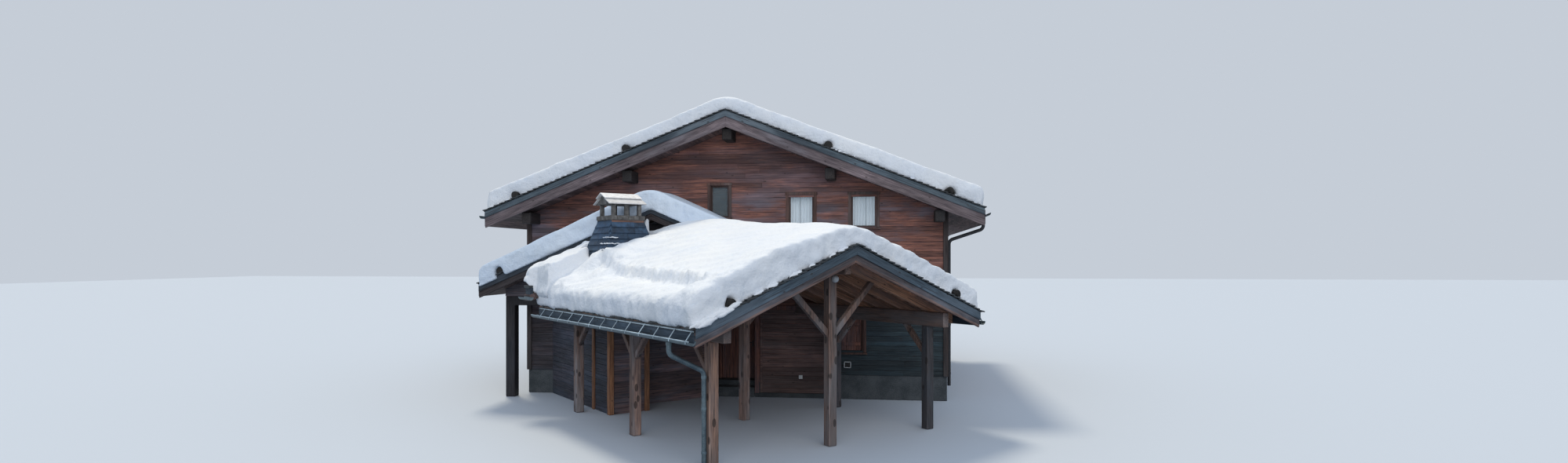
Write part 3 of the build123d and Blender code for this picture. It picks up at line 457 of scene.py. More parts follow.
tile_finish = mottled("roof_tile", (0.050, 0.060, 0.068), (0.014, 0.018, 0.022), scale=5, bump=0.5)
shingle_finish = mottled("old_shingle", (0.050, 0.100, 0.175), (0.012, 0.026, 0.050), scale=7, bump=0.6)
cap_finish = mottled("weathered_cap", (0.97, 0.96, 0.95), (0.70, 0.68, 0.67), scale=9, rough=(0.7, 0.9))
crown_finish = mottled("weathered_crown", (0.21, 0.20, 0.19), (0.07, 0.068, 0.066), scale=9, rough=(0.7, 0.9))
zinc_finish = mottled("weathered_zinc", (0.150, 0.205, 0.235), (0.065, 0.098, 0.120), scale=4, rough=(0.38, 0.6),
                      metallic=0.5, bump=0.1)
dark_pipe_finish = mottled("dark_pipe", (0.045, 0.05, 0.06), (0.02, 0.022, 0.028), scale=4, rough=(0.4, 0.6),
                           metallic=0.4, bump=0.1)
strap_finish = mottled("bright_strap", (0.50, 0.60, 0.66), (0.24, 0.31, 0.36), scale=3, rough=(0.35, 0.55),
                       metallic=0.4, bump=0.1)
concrete_finish = mottled("old_concrete", (0.080, 0.090, 0.098), (0.030, 0.038, 0.044), scale=2.5,
                          rough=(0.8, 0.95))
iron_finish = mottled("black_iron", (0.04, 0.04, 0.042), (0.015, 0.015, 0.016), scale=20, rough=(0.4, 0.6),
                      metallic=0.8, bump=0.1)
white_finish = mottled("white_paint", (0.72, 0.74, 0.75), (0.58, 0.60, 0.62), scale=12, rough=(0.4, 0.6), bump=0.05)
print("materials", len(bpy.data.materials))

# %% [markdown]
# Snow is not one white. Its tops drift between two pale tints, its surface is crumbly at the scale of a hand, and
# each grain glitters a little. Glass is thin and nearly clear, so that the curtains behind it show.

# %% Snow and glass materials
def snow(name, hollow_shade, low, high):
    """Snow with a tint that drifts between two whites, and a painted blue shade in its small hollows."""
    material, tree, surface = new_material(name)
    place = object_place(tree)
    drift = noise_of(tree, place, 1.1, 5, 0.55)
    crumbs = noise_of(tree, place, 9.0, 8, 0.62)
    grains = noise_of(tree, place, 120.0, 3)
    tint = mixed(tree, range_of(tree, drift, 0.3, 0.7), (*low, 1), (*high, 1))
    # The small hollows get a bluish grey: painted shade.
    hollow_shade_share = sums(tree, "MULTIPLY", range_of(tree, crumbs, 0.44, 0.30), 0.35)
    height = sums(tree, "ADD", sums(tree, "MULTIPLY", crumbs, 0.88), sums(tree, "MULTIPLY", grains, 0.12))
    feed(tree, surface, {
        "Base Color": mixed(tree, hollow_shade_share, tint, (*hollow_shade, 1)),
        "Roughness": range_of(tree, grains, 0.35, 0.7, 0.75, 0.45), "Normal": relief_of(tree, height, 0.6, 0.07),
    })
    return material


snow_finish = snow("settled_snow", (0.66, 0.74, 0.85), (0.82, 0.86, 0.92), (0.88, 0.90, 0.925))
shaded_snow = snow("shaded_snow", (0.56, 0.68, 0.86), (0.70, 0.80, 0.93), (0.76, 0.85, 0.95))

glass_finish, tree, surface = new_material("window_glass")
waves_and_reflection = noise_of(tree, object_place(tree), 1.8, 1)
# The pane's base colour drifts between two blue-greys: a painted reflection of the sky; the same noise gives the glass
# its slight waves.
feed(tree, surface, {
    "Base Color": mixed(tree, range_of(tree, waves_and_reflection, 0.3, 0.7), (0.30, 0.38, 0.42, 1), (0.42, 0.50, 0.54, 1)),
    "Roughness": range_of(tree, waves_and_reflection, 0.3, 0.7, 0.02, 0.06), "Alpha": 0.16, "Specular IOR Level": 1.0,
    "Normal": relief_of(tree, waves_and_reflection, 0.08, 0.02),
})

curtain_finish, tree, surface = new_material("sheer_curtain")
weave = noise_of(tree, add_node(tree, "ShaderNodeUVMap", uv_map="UVMap").outputs[0], 160.0, 2)
threads = range_of(tree, weave, 0.35, 0.65)
feed(tree, surface, {
    "Base Color": mixed(tree, threads, (0.80, 0.86, 0.90, 1), (0.94, 0.96, 0.98, 1)), "Roughness": 0.9,
    # The curtains glow faintly: painted light, so that they look lit behind the glass.
    "Emission Color": mixed(tree, threads, (0.50, 0.66, 0.80, 1), (0.62, 0.78, 0.90, 1)), "Emission Strength": 0.16,
    "Normal": relief_of(tree, weave, 0.3, 0.001),
})
print("materials", len(bpy.data.materials))

# %% [markdown]
# The solids that keep their own shape only need a finish. Their material slots are replaced in one table of plain
# rows, and what the boards and snow below cover gets its finish again from the piece that stands for it.

# %% Finishes of the solids that stay
finishes = {
    "plinth": concrete_finish, "ground_floor": concrete_finish, "entrance_steps": concrete_finish,
    "upper_floor": beam_wood_x, "front_walls": siding_x, "front_gable_wall": siding_x, "back_wall": siding_x,
    "side_walls": siding_y, "entrance_linings": siding_upright, "entrance_frame": siding_upright,
    "garage_lintel": siding_x, "garage_door": siding_x, "closed_shutter": siding_upright,
    "entrance_door": siding_upright, "door_handle": iron_finish, "hinge_pins": iron_finish,
    "main_purlins": dark_timber_y, "main_roof_left": soffit_main, "main_roof_right": soffit_main,
    "main_barge_boards": main_barge_low, "annex_gable_wall": siding_x, "annex_roof": soffit_annex,
    "annex_barge_boards": shaded_annex_barge_low, "porch_frame": dark_upright, "wing_walls": siding_turned,
    "wing_roof": soffit_wing, "chimney_breast": siding_turned, "chimney_skirt": shingle_finish,
    "chimney_crown": crown_finish, "chimney_cap": cap_finish, "carport_posts": post_wood,
    "carport_beams": beam_wood_turned, "carport_braces": post_wood, "carport_rafters": sunlit_rafter_wood,
    "carport_roof_left": sunlit_soffit_carport, "carport_roof_right": sunlit_soffit_carport,
    "carport_barge_boards": carport_barge_low, "gutters": zinc_finish, "downpipes": zinc_finish,
    "snow_logs": dark_timber_y, "snow_main": snow_finish, "snow_annex": shaded_snow, "snow_carport": snow_finish,
    "window_frames": siding_upright, "window_glass": glass_finish,
}
for name, finish in finishes.items():
    nodes[name].data.materials.clear()
    nodes[name].data.materials.append(finish)
print("finished solids", len(finishes), "of", len(nodes))


# %% [markdown]
# Blender's operators work on what is selected, so every step begins by selecting one piece alone. A modifier could
# stay live on its piece, but it is applied here, so that the next step works on the real faces.

# %% Helpers for one piece
LEVEL = (0, 0, 0)


def only(piece):
    """Selects one piece alone."""
    bpy.ops.object.select_all(action="DESELECT")
    piece.select_set(True)
    bpy.context.view_layer.objects.active = piece


def empty_piece(name):
    """A new mesh object in edit mode with nothing in it."""
    bpy.ops.object.select_all(action="DESELECT")
    bpy.ops.mesh.primitive_cube_add(size=1)
    piece = bpy.context.active_object
    piece.name = name
    bpy.ops.object.mode_set(mode="EDIT")
    bpy.ops.mesh.delete(type="VERT")
    return piece


def apply_modifier(piece, kind, **settings):
    """Adds a modifier to a piece, sets it and applies it."""
    only(piece)
    bpy.ops.object.modifier_add(type=kind)
    modifier = piece.modifiers[-1]
    for name, value in settings.items():
        setattr(modifier, name, value)
    bpy.ops.object.modifier_apply(modifier=modifier.name)


def soften(piece, width):
    """Planes off every sharp edge."""
    apply_modifier(piece, "BEVEL", width=width, segments=1, limit_method="ANGLE")


# %% [markdown]
# Most of this building is squared timber: boards, posts, beams and tiles. A block is added in edit mode at its
# place, size and turn, and can be trimmed by planes straight away, because only the new block is selected. One
# bevel then softens every edge, because a sawn edge is never perfectly sharp.

# %% Helpers for timber
def corners_of(middle, size, turn):
    """The eight corners of a turned block."""
    turned = Euler(turn).to_matrix()
    signs = [(x, y, z) for x in (-0.5, 0.5) for y in (-0.5, 0.5) for z in (-0.5, 0.5)]
    return [Vector(middle) + turned @ Vector([s * length for s, length in zip(sign, size)]) for sign in signs]


def needed_cuts(block):
    """The trim planes that cross a block, or None if one of them takes all of it away."""
    middle, size, turn, *trims = block
    cuts = []
    for point, outward in trims:
        heights = [(corner - Vector(point)).dot(Vector(outward)) for corner in corners_of(middle, size, turn)]
        if min(heights) >= 0:
            return None
        if max(heights) > 0.0005:
            cuts.append((point, outward))
    return cuts


def timbers(name, blocks, bevel):
    """One mesh of blocks: each is a middle, a size, a turn and the planes (point, outward normal) that trim it."""
    piece = empty_piece(name)
    for block in blocks:
        cuts = needed_cuts(block)
        if cuts is None:
            continue
        bpy.ops.mesh.primitive_cube_add(size=1, location=block[0], rotation=block[2], scale=block[1])
        for point, outward in cuts:
            bpy.ops.mesh.bisect(plane_co=point, plane_no=outward, use_fill=True, clear_outer=True)
            bpy.ops.mesh.select_linked()
    bpy.ops.object.mode_set(mode="OBJECT")
    if bevel:
        soften(piece, bevel)
    return piece


def rods(name, runs, sides=12):
    """Round bars in one mesh, each from one point to another with a radius."""
    piece = empty_piece(name)
    for start, end, radius in runs:
        start, end = Vector(start), Vector(end)
        bpy.ops.mesh.primitive_cylinder_add(
            vertices=sides, radius=radius, depth=(end - start).length, location=(start + end) / 2,
            rotation=(end - start).to_track_quat("Z", "Y").to_euler())
    bpy.ops.object.mode_set(mode="OBJECT")
    only(piece)
    bpy.ops.object.shade_smooth_by_angle(angle=math.radians(40))
    return piece


# %% [markdown]
# Some timbers have notches or seats that a plain block lacks, so they start from their own solid. Every finished
# piece then gets its material, the body it moves with and the solids it stands for.

# %% Helpers for copies and finished pieces
def open_copy(name, node):
    """A copy of a solid in edit mode, with its triangles joined at their points."""
    piece = bpy.data.objects.new(name, nodes[node].data.copy())
    bpy.context.scene.collection.objects.link(piece)
    only(piece)
    bpy.ops.object.mode_set(mode="EDIT")
    bpy.ops.mesh.select_all(action="SELECT")
    bpy.ops.mesh.remove_doubles(threshold=0.0005)
    return piece


def from_solid(name, node, bevel):
    """A finished copy of a solid: its triangles are merged into flat faces, and its edges are planed off."""
    piece = open_copy(name, node)
    bpy.ops.mesh.dissolve_limited(angle_limit=math.radians(1))
    bpy.ops.object.mode_set(mode="OBJECT")
    if bevel:
        soften(piece, bevel)
    return piece


def place_turned(piece):
    """Turns a piece that was built square to the carport into its real place."""
    only(piece)
    piece.location = CARPORT
    piece.rotation_euler = (0, 0, TURN)
    bpy.ops.object.transform_apply(location=True, rotation=True, scale=True)
    return piece


def settle(piece, finish, slot, *stands_for, body="house"):
    """Gives a finished piece its material, the body it rides on and the solids it stands for; the slot is not used."""
    piece.data.materials.clear()
    piece.data.materials.append(finish)
    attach(piece, body)
    if stands_for:
        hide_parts(*stands_for)
    print(piece.name, "has", len(piece.data.polygons), "faces")
    return piece


def fit(name, blocks, bevel, finish, slot, *stands_for, body="house", turned=False):
    """Makes blocks into one finished piece; a turned one is built square to the carport."""
    piece = timbers(name, blocks, bevel)
    if turned:
        place_turned(piece)
    return settle(piece, finish, slot, *stands_for, body=body)


# %% [markdown]
# The walls are clad with level boards about 13 cm high. Each course runs between the wall's ends and stops at
# windows and doors, and a long one has a joint at a chance place. On a gable the boards are trimmed to the roof's
# underside.

# %% Board cladding
BOARD = 0.132
BOARD_THICK = 0.022
BOARD_GAP = 0.0045
BOARD_JOINT = 0.0015
LONGEST_BOARD = 2.6
SHORTEST_BOARD = 0.03


def cladding(name, start, heading, low, high, span, holes=(), trims=()):
    """Boards on a wall. Start is the wall face's own origin, and span gives a course's two ends at a height."""
    run = Vector((math.cos(heading), math.sin(heading), 0))
    out = Vector((math.sin(heading), -math.cos(heading), 0))
    blocks = []
    courses = round((high - low) / BOARD)
    step = (high - low) / courses
    for course in range(courses):
        bottom = low + course * step
        ends = [tuple(span(bottom))]
        for left, right, sill, head in holes:
            if sill < bottom + step * 0.5 < head:
                ends = [piece for a, b in ends for piece in ((a, min(b, left)), (max(a, right), b))
                        if piece[1] - piece[0] > SHORTEST_BOARD]
        for a, b in ends:
            cuts = [a, b]
            if b - a > LONGEST_BOARD:
                cuts.insert(1, a + (b - a) * chance.uniform(0.2, 0.8))
            for left, right in zip(cuts, cuts[1:]):
                proud = BOARD_THICK + chance.uniform(-0.003, 0.003)
                middle = Vector(start) + run * (left + right) / 2 + out * proud / 2
                middle.z = bottom + step / 2
                size = (right - left - BOARD_JOINT, proud, step - BOARD_GAP)
                blocks.append((middle, size, (0, 0, heading), *trims))
    return timbers(name, blocks, 0.0025)


def under_roof(ridge_x, ridge, slope, depth):
    """The planes of a gable roof's underside, for trimming boards below it."""
    apex = (ridge_x, 0, ridge - depth)
    return [(apex, Vector((slope, 0, 1)).normalized()), (apex, Vector((-slope, 0, 1)).normalized())]


def gable_span(z):
    """The two ends of a course on the main gable at this height."""
    reach = min(HALF_WIDTH, max(0.2, (RIDGE - ROOF_DEPTH - z) / SLOPE))
    return -reach, reach


# A window is its middle along the wall, its sill, its width and its height
WINDOWS = {
    "front": [(-0.32, 4.90, 0.52, 0.88), (1.93, 4.62, 0.69, 0.88), (3.62, 4.62, 0.69, 0.88)],
    "back": [(x, 4.62, 0.69, 0.88) for x in (-2.4, 0.0, 2.4)] + [(x, 1.3, 0.69, 1.0) for x in (-3.6, 0.0, 3.6)],
    "left": [(y, 1.3, 0.69, 1.0) for y in (-2.7, 0.0, 2.7)],
    "right": [(y, 1.3, 0.69, 1.0) for y in (-2.7, 0.0, 2.7)],
}
SHUTTERED = (3.29, 1.26, 0.64, 0.98)


def openings(windows, sign=1):
    """Left, right, sill and head of each window, measured along its wall."""
    return [(sign * middle - width / 2, sign * middle + width / 2, sill, sill + tall)
            for middle, sill, width, tall in windows]


ENTRANCE = (-0.45, 0.65)
GARAGE = (0.79, 2.78)
GARAGE_TOP = 2.38
GARAGE_RIGHT = 2.85
UNDER_CARPORT = 3.29
GABLE_TOP = 7.3
main_trims = under_roof(0, RIDGE, SLOPE, ROOF_DEPTH)
doors = [(*ENTRANCE, 0.0, STOREY), (*GARAGE, 0.0, 2.40)]
low_right = (GARAGE_RIGHT, HALF_WIDTH + 0.1, 0.0, UNDER_CARPORT)
low_left = (-HALF_WIDTH - 0.1, ENTRANCE[0], 0.0, STOREY)
front_holes = openings(WINDOWS["front"] + [SHUTTERED]) + doors + [low_right, low_left]
front_boards = cladding("front_boards", (0, FRONT, 0), 0, PLINTH, GABLE_TOP, gable_span, front_holes, main_trims)
settle(front_boards, siding_x, "siding")
shaded_boards = cladding("shaded_front_boards", (0, FRONT, 0), 0, PLINTH, UNDER_CARPORT,
                         lambda z: (GARAGE_RIGHT, HALF_WIDTH), openings([SHUTTERED]))
settle(shaded_boards, shaded_siding, "siding")
# The low front boards under the annex are darker and bluer: painted shade, for the shadow of the annex's roof.
shaded_porch_siding = wood("shaded_porch_siding", weathering=0.5, fresh=(0.070, 0.052, 0.058), dark=(0.026, 0.024, 0.032),
                    grey=(0.050, 0.060, 0.080))
porch_boards = cladding("porch_front_boards", (0, FRONT, 0), 0, PLINTH, STOREY, lambda z: (-HALF_WIDTH, ENTRANCE[0]))
settle(porch_boards, shaded_porch_siding, "siding")
back_boards = cladding("back_boards", (0, BACK, 0), math.pi, PLINTH, GABLE_TOP, gable_span,
                       openings(WINDOWS["back"], -1), main_trims)
settle(back_boards, siding_x, "siding")
side_top = RIDGE - ROOF_DEPTH - SLOPE * HALF_WIDTH
right_boards = cladding("right_boards", (HALF_WIDTH, 0, 0), math.pi / 2, PLINTH, side_top,
                        lambda z: (FRONT, BACK), openings(WINDOWS["right"]))
settle(right_boards, siding_y, "siding")
left_boards = cladding("left_boards", (-HALF_WIDTH, 0, 0), -math.pi / 2, PLINTH, side_top,
                       lambda z: (FRONT, BACK), openings(WINDOWS["left"], -1))
settle(left_boards, siding_y, "siding")

corner_posts = []
for side in (-1, 1):
    for y in (FRONT, BACK):
        middle = (side * (HALF_WIDTH - 0.035), y, (PLINTH + side_top) / 2)
        corner_posts.append((middle, (0.13, 0.13, side_top - PLINTH), LEVEL))
fit("corner_posts", corner_posts, 0.008, dark_upright, "siding")

# %% [markdown]
# The annex gable and the turned wing are clad the same way. The chimney's lower part is a square boarded breast,
# with a bright post at each corner that stands free.

# %% Cladding of the annex, the wing and the chimney breast
ANNEX_WALL_LEFT = -6.14
ANNEX_WALL_RIGHT = ANNEX_X + ANNEX_RIGHT - 0.1
annex_trims = under_roof(ANNEX_X, ANNEX_RIDGE, ANNEX_SLOPE, ANNEX_DEPTH)
# The left faces of the wing and the chimney breast are darker and bluer: painted shade, for the shade they stand in.
SHADED_SIDE_SIDING = {"fresh": (0.055, 0.050, 0.068), "dark": (0.020, 0.024, 0.036), "grey": (0.045, 0.062, 0.088)}
shaded_side_siding = wood("shaded_side_siding", turn=TURN + math.pi / 2, weathering=0.5, **SHADED_SIDE_SIDING)
annex_siding = wood("annex_siding", fresh=(0.21, 0.165, 0.175), dark=(0.085, 0.080, 0.095), grey=(0.18, 0.19, 0.23))
annex_boards = cladding("annex_boards", (0, ANNEX_WALL, 0), 0, STOREY, 4.82,
                        lambda z: (ANNEX_WALL_LEFT, ANNEX_WALL_RIGHT), (), annex_trims)
settle(annex_boards, annex_siding, "siding")

BREAST_LEFT = -2.31
BREAST_RIGHT = -1.36
BREAST_FRONT = 5.59
BREAST_BACK = 6.54
WING_FRONT = 6.4
turned_walls = [
    ("wing_front_boards", carport_point(0, WING_FRONT), TURN, 3.4, (BREAST_RIGHT, 1.05), siding_turned),
    ("wing_side_boards", carport_point(BREAST_LEFT, 0), TURN - math.pi / 2, 2.5, (-9.5, -BREAST_BACK),
     shaded_side_siding),
    ("breast_front", carport_point(0, BREAST_FRONT), TURN, 3.0, (BREAST_LEFT, BREAST_RIGHT), siding_turned),
    ("breast_left", carport_point(BREAST_LEFT, 0), TURN - math.pi / 2, 3.0, (-BREAST_BACK, -BREAST_FRONT),
     shaded_side_siding),
    ("breast_right", carport_point(BREAST_RIGHT, 0), TURN + math.pi / 2, 3.0, (BREAST_FRONT, WING_FRONT),
     siding_turned_side),
]
for name, start, heading, top, ends, finish in turned_walls:
    settle(cladding(name, start, heading, 0.0, top, lambda z, ends=ends: ends), finish, "siding")
corner_blocks = [((a, b, 1.5), (0.13, 0.13, 3.0), LEVEL)
                 for a, b in ((BREAST_LEFT, BREAST_FRONT), (BREAST_RIGHT, BREAST_FRONT), (BREAST_LEFT, BREAST_BACK))]
bright_post = wood("bright_post", upright=True, fresh=(0.42, 0.19, 0.085), dark=(0.15, 0.07, 0.04), weathering=0.3)
fit("breast_corners", corner_blocks, 0.012, bright_post, "siding", turned=True)

# %% [markdown]
# Windows are dark timber casements: a casing round the opening, a lining, a sash, a sill and a glass pane that stays
# the frame's own. They repeat on every wall, so one function places them by the wall's heading.

# %% Windows
CASING = 0.075
SASH = 0.05


def window_blocks(start, heading, middle, sill, width, tall):
    """Casing, sash and sill of one window, on a wall with this heading."""
    run = Vector((math.cos(heading), math.sin(heading), 0))
    out = Vector((math.sin(heading), -math.cos(heading), 0))

    def block(u, depth, z, size):
        """One bar, this far from the window's middle and this far out of the wall."""
        point = Vector(start) + run * (middle + u) + out * depth
        point.z = z
        return point, size, (0, 0, heading)

    middle_z = sill + tall / 2
    blocks = []
    for side in (-1, 1):
        blocks.append(block(side * (width + CASING) / 2, 0.018, middle_z, (CASING, 0.05, tall)))
        blocks.append(block(side * (width / 2 - 0.012), -0.03, middle_z, (0.024, 0.09, tall)))
        blocks.append(block(side * (width - SASH) / 2, -0.075, middle_z, (SASH, 0.07, tall)))
        blocks.append(block(0, -0.075, middle_z + side * (tall - SASH) / 2, (width - 2 * SASH, 0.068, SASH)))
    blocks.append(block(0, 0.02, sill + tall + CASING / 2, (width + 2 * CASING + 0.03, 0.056, CASING)))
    blocks.append(block(0, 0.03, sill - 0.03, (width + 2 * CASING + 0.05, 0.085, 0.05)))
    return blocks


walls = {
    "front": ((0, FRONT, 0), 0, 1), "back": ((0, BACK, 0), math.pi, -1),
    "right": ((HALF_WIDTH, 0, 0), math.pi / 2, 1), "left": ((-HALF_WIDTH, 0, 0), -math.pi / 2, -1),
}
window_timber = wood("window_timber", fresh=(0.15, 0.068, 0.05), dark=(0.05, 0.028, 0.024), upright=True,
                     weathering=0.35)
blocks = []
for wall, (start, heading, sign) in walls.items():
    for middle, sill, width, tall in WINDOWS[wall] + ([SHUTTERED] if wall == "front" else []):
        blocks += window_blocks(start, heading, sign * middle, sill, width, tall)
fit("window_joinery", blocks, 0.004, window_timber, "window_timber", "window_frames")

# %% [markdown]
# Two sheer curtains hang inside each of the two wide upper windows in front; the narrow one has a rail alone. A
# curtain is a flat cloth whose folds take up its extra width, so a fine grid is pushed into waves that grow less
# regular towards the hem.

# %% Curtains
FOLD = 0.075
FOLD_DEPTH = 0.016
CURTAIN_Y = FRONT + 0.175
CURTAIN_COLUMNS = 72


def curtain(name, x, top, width, tall):
    """One hung curtain with soft upright folds."""
    bpy.ops.object.select_all(action="DESELECT")
    bpy.ops.mesh.primitive_grid_add(x_subdivisions=CURTAIN_COLUMNS, y_subdivisions=20, size=1, calc_uvs=True)
    piece = bpy.context.active_object
    piece.name = name
    phase = chance.uniform(0, 6)
    for vertex in piece.data.vertices:
        u, v = vertex.co.x + 0.5, vertex.co.y + 0.5
        wander = 0.9 * math.sin(3 * v + phase) * (1 - v)
        fold = FOLD_DEPTH * math.sin(u * width / FOLD * 2 * math.pi + wander + phase)
        vertex.co = (x + (u - 0.5) * width, CURTAIN_Y + fold * (0.6 + 0.4 * (1 - v)), top - (1 - v) * tall)
    bpy.ops.object.shade_smooth()
    settle(piece, curtain_finish, "glass")


rail_runs = []
for middle, sill, width, tall in WINDOWS["front"]:
    ends = [(middle + side * (width / 2 + 0.02), CURTAIN_Y, sill + tall - 0.02) for side in (-1, 1)]
    rail_runs.append((*ends, 0.009))
curtain_rails = settle(rods("curtain_rails", rail_runs), iron_finish, "iron")
for number, (middle, sill, width, tall) in enumerate(WINDOWS["front"][1:]):
    share = (0.42, 0.56)[number]
    for side, side_name, part in ((-1, "left", share), (1, "right", 0.985 - share)):
        cloth_width = width * part
        centre = middle + side * (width - cloth_width) / 2
        curtain(f"curtain_{number}_{side_name}", centre, sill + tall - 0.03, cloth_width, tall - 0.06)

# %% [markdown]
# A gable roof's verge has two boards: a blue-grey upper board and a brown lower one that stands a little behind
# it. Both are cut plumb at the ridge and at the eaves. The carport's verge has a third, narrow board at its foot.

# %% Verge boards
HIGH_BOARD = 0.035
LOW_BOARD = 0.045


def slope_blocks(ridge_x, ridge, slope, reach, y, thick, top, bottom):
    """Boards along a gable's two slopes, between two depths below the tile line, cut plumb at both ends."""
    angle = math.atan(slope)
    blocks = []
    for side, span in zip((-1, 1), reach):
        tall = (bottom - top) * math.cos(angle)
        middle = (ridge_x + side * span / 2, y + thick / 2, ridge - slope * span / 2 - (top + bottom) / 2)
        size = (span / math.cos(angle) + 1.0, thick, tall)
        blocks.append((middle, size, (0, side * angle, 0), ((ridge_x, 0, 0), (-side, 0, 0)),
                       ((ridge_x + side * span, 0, 0), (side, 0, 0))))
    return blocks


main_gable = (0, RIDGE, SLOPE, (HALF_SPAN, HALF_SPAN))
annex_gable = (ANNEX_X, ANNEX_RIDGE, ANNEX_SLOPE, (ANNEX_LEFT, ANNEX_RIGHT))
carport_gable = (0, CARPORT_RIDGE, CARPORT_SLOPE, (CARPORT_SPAN, CARPORT_SPAN))
# The upper board's foot and the lower board's two edges are depths below the tiles
verges = (
    ("main", main_gable, (RAKE, -RAKE), 0.16, (0.13, 0.44), main_barge_high, main_barge_low),
    ("annex", annex_gable, (ANNEX_RAKE,), 0.20, (0.17, 0.37), shaded_annex_barge_high, shaded_annex_barge_low),
    ("carport", carport_gable, (CARPORT_RAKE,), 0.18, (0.15, 0.30), carport_barge_high, carport_barge_low),
)
for name, gable, rakes, high_foot, low_edges, high_finish, low_finish in verges:
    high_boards = []
    low_boards = []
    for y in rakes:
        high_y, low_y = (y, y + HIGH_BOARD) if y < 0 else (y - HIGH_BOARD, y - HIGH_BOARD - LOW_BOARD)
        high_boards += slope_blocks(*gable, high_y, HIGH_BOARD, 0.0, high_foot)
        low_boards += slope_blocks(*gable, low_y, LOW_BOARD, *low_edges)
    turned = name == "carport"
    fit(f"{name}_verge_high", high_boards, 0.005, high_finish, "barge_boards", f"{name}_barge_boards", turned=turned)
    fit(f"{name}_verge_low", low_boards, 0.008, low_finish, "barge_boards", turned=turned)
edge_boards = slope_blocks(*carport_gable, CARPORT_RAKE + 0.037, 0.05, 0.27, 0.345)
brown_edge = wood("brown_edge", fresh=(0.16, 0.09, 0.07), dark=(0.06, 0.04, 0.038), weathering=0.4, **turned_slope)
fit("carport_verge_edge", edge_boards, 0.012, brown_edge, "barge_boards", turned=True)

# %% [markdown]
# Along the eaves a fascia board covers the ends of the rafters. Over it the roof shows its own thickness as two thin
# dark layers, and a bright drip edge closes the carport's roof over its gutters.

# %% Eave boards
EAVE_Z = CARPORT_RIDGE - CARPORT_SLOPE * CARPORT_SPAN
RIGHT_EAVE_END = 4.05
eave_blocks = []
layer_blocks = []
drip_blocks = []
for side, end in ((-1, CARPORT_BACK), (1, RIGHT_EAVE_END)):
    length = end - CARPORT_RAKE - 0.05
    middle = (end + CARPORT_RAKE + 0.05) / 2
    eave_blocks.append(((side * (CARPORT_SPAN + 0.002), middle, EAVE_Z - 0.19), (0.03, length, 0.23), LEVEL))
    for level, out in ((-0.03, 0.012), (-0.075, 0.002)):
        layer_place = (side * (CARPORT_SPAN - 0.03 + out), middle, EAVE_Z + level)
        layer_blocks.append((layer_place, (0.07, length, 0.035), LEVEL))
    drip_place = (side * (CARPORT_SPAN + 0.018), (end + CARPORT_RAKE) / 2, EAVE_Z - 0.05)
    drip_blocks.append((drip_place, (0.010, end - CARPORT_RAKE - 0.1, 0.022), LEVEL))
WING_SPAN = 3.85
wing_eave_z = WING_RIDGE - CARPORT_SLOPE * WING_SPAN
layer_blocks.append(((-3.80, 7.13, wing_eave_z + 0.20), (0.11, 0.36, 0.07), LEVEL))
eave_blocks.append(((-3.78, 7.12, wing_eave_z + 0.06), (0.08, 0.34, 0.24), LEVEL))
fit("carport_eave_boards", eave_blocks, 0.004, eave_wood_turned, "barge_boards", turned=True)
fit("carport_eave_layers", layer_blocks, 0.004, tile_finish, "shingles", turned=True)
fit("carport_drip_edge", drip_blocks, 0.002, strap_finish, "sheet_metal", turned=True)

main_eave_z = RIDGE - SLOPE * HALF_SPAN
annex_eave_z = ANNEX_RIDGE - ANNEX_SLOPE * ANNEX_LEFT
eave_blocks = [((side * (HALF_SPAN + 0.004), 0, main_eave_z - 0.22), (0.03, 2 * BACK + 1.62, 0.36), LEVEL)
               for side in (-1, 1)]
eave_blocks.append(((ANNEX_X - ANNEX_LEFT - 0.004, (ANNEX_RAKE + FRONT) / 2 + 0.02, annex_eave_z - 0.18),
                    (0.03, FRONT - ANNEX_RAKE - 0.05, 0.29), LEVEL))
fit("house_eave_boards", eave_blocks, 0.004, eave_wood_y, "barge_boards")

# %% [markdown]
# Above the verge boards the edge of the roof tiles shows as a row of small dark steps, and at the eaves as a row of
# square ends. Each tile is a thin slab that lies on the one below it, so it is tilted a little less than the roof.

# %% Tile edges
TILE = 0.172


def tile_rows(ridge_x, ridge, slope, reach, y, length, outward=-1):
    """Tiles along the verge at y, and along both eaves from there over a length."""
    angle = math.atan(slope)
    blocks = []
    for side, span in zip((-1, 1), reach):
        count = int(span / math.cos(angle) / TILE)
        for step in range(count + 1):
            away = (step + 0.5) * TILE * math.cos(angle)
            out = ridge_x + side * away
            tilt = side * (angle - math.radians(chance.uniform(7.0, 10.0)))
            width = 0.24 + chance.uniform(-0.02, 0.02)
            middle = (out, y - outward * (width / 2 - 0.03) + chance.uniform(-0.008, 0.008),
                      ridge - slope * away + 0.030 + chance.uniform(-0.003, 0.004))
            blocks.append((middle, (TILE * 1.25, width, 0.026), (0, tilt, 0)))
        for step in range(int(length / TILE)):
            away = span - 0.10 + chance.uniform(-0.014, 0.014)
            middle = (ridge_x + side * away, y + (step + 0.5) * TILE, ridge - slope * away + 0.018)
            blocks.append((middle, (0.27, TILE - 0.010, 0.026), (0, side * angle, 0)))
    return blocks


main_tiles = tile_rows(*main_gable, RAKE, -2 * RAKE) + tile_rows(*main_gable, -RAKE, 0, 1)
fit("main_tiles", main_tiles, 0.004, tile_finish, "shingles")
fit("annex_tiles", tile_rows(*annex_gable, ANNEX_RAKE, 1.4), 0.004, tile_finish, "shingles")
carport_tiles = [block for block in tile_rows(*carport_gable, CARPORT_RAKE, 7.7)
                 if block[0][0] < 0 or block[0][1] < RIGHT_EAVE_END - 0.15]
fit("carport_tiles", carport_tiles, 0.004, tile_finish, "shingles", turned=True)

# %% [markdown]
# The carport's frame is squared timber. Its posts, beams and braces keep the lengths and seats of their solids, so
# each is a copy of its solid with planed edges, and the posts get the widest chamfer. Purlins, linings, steps and
# the plinth are finished the same way.

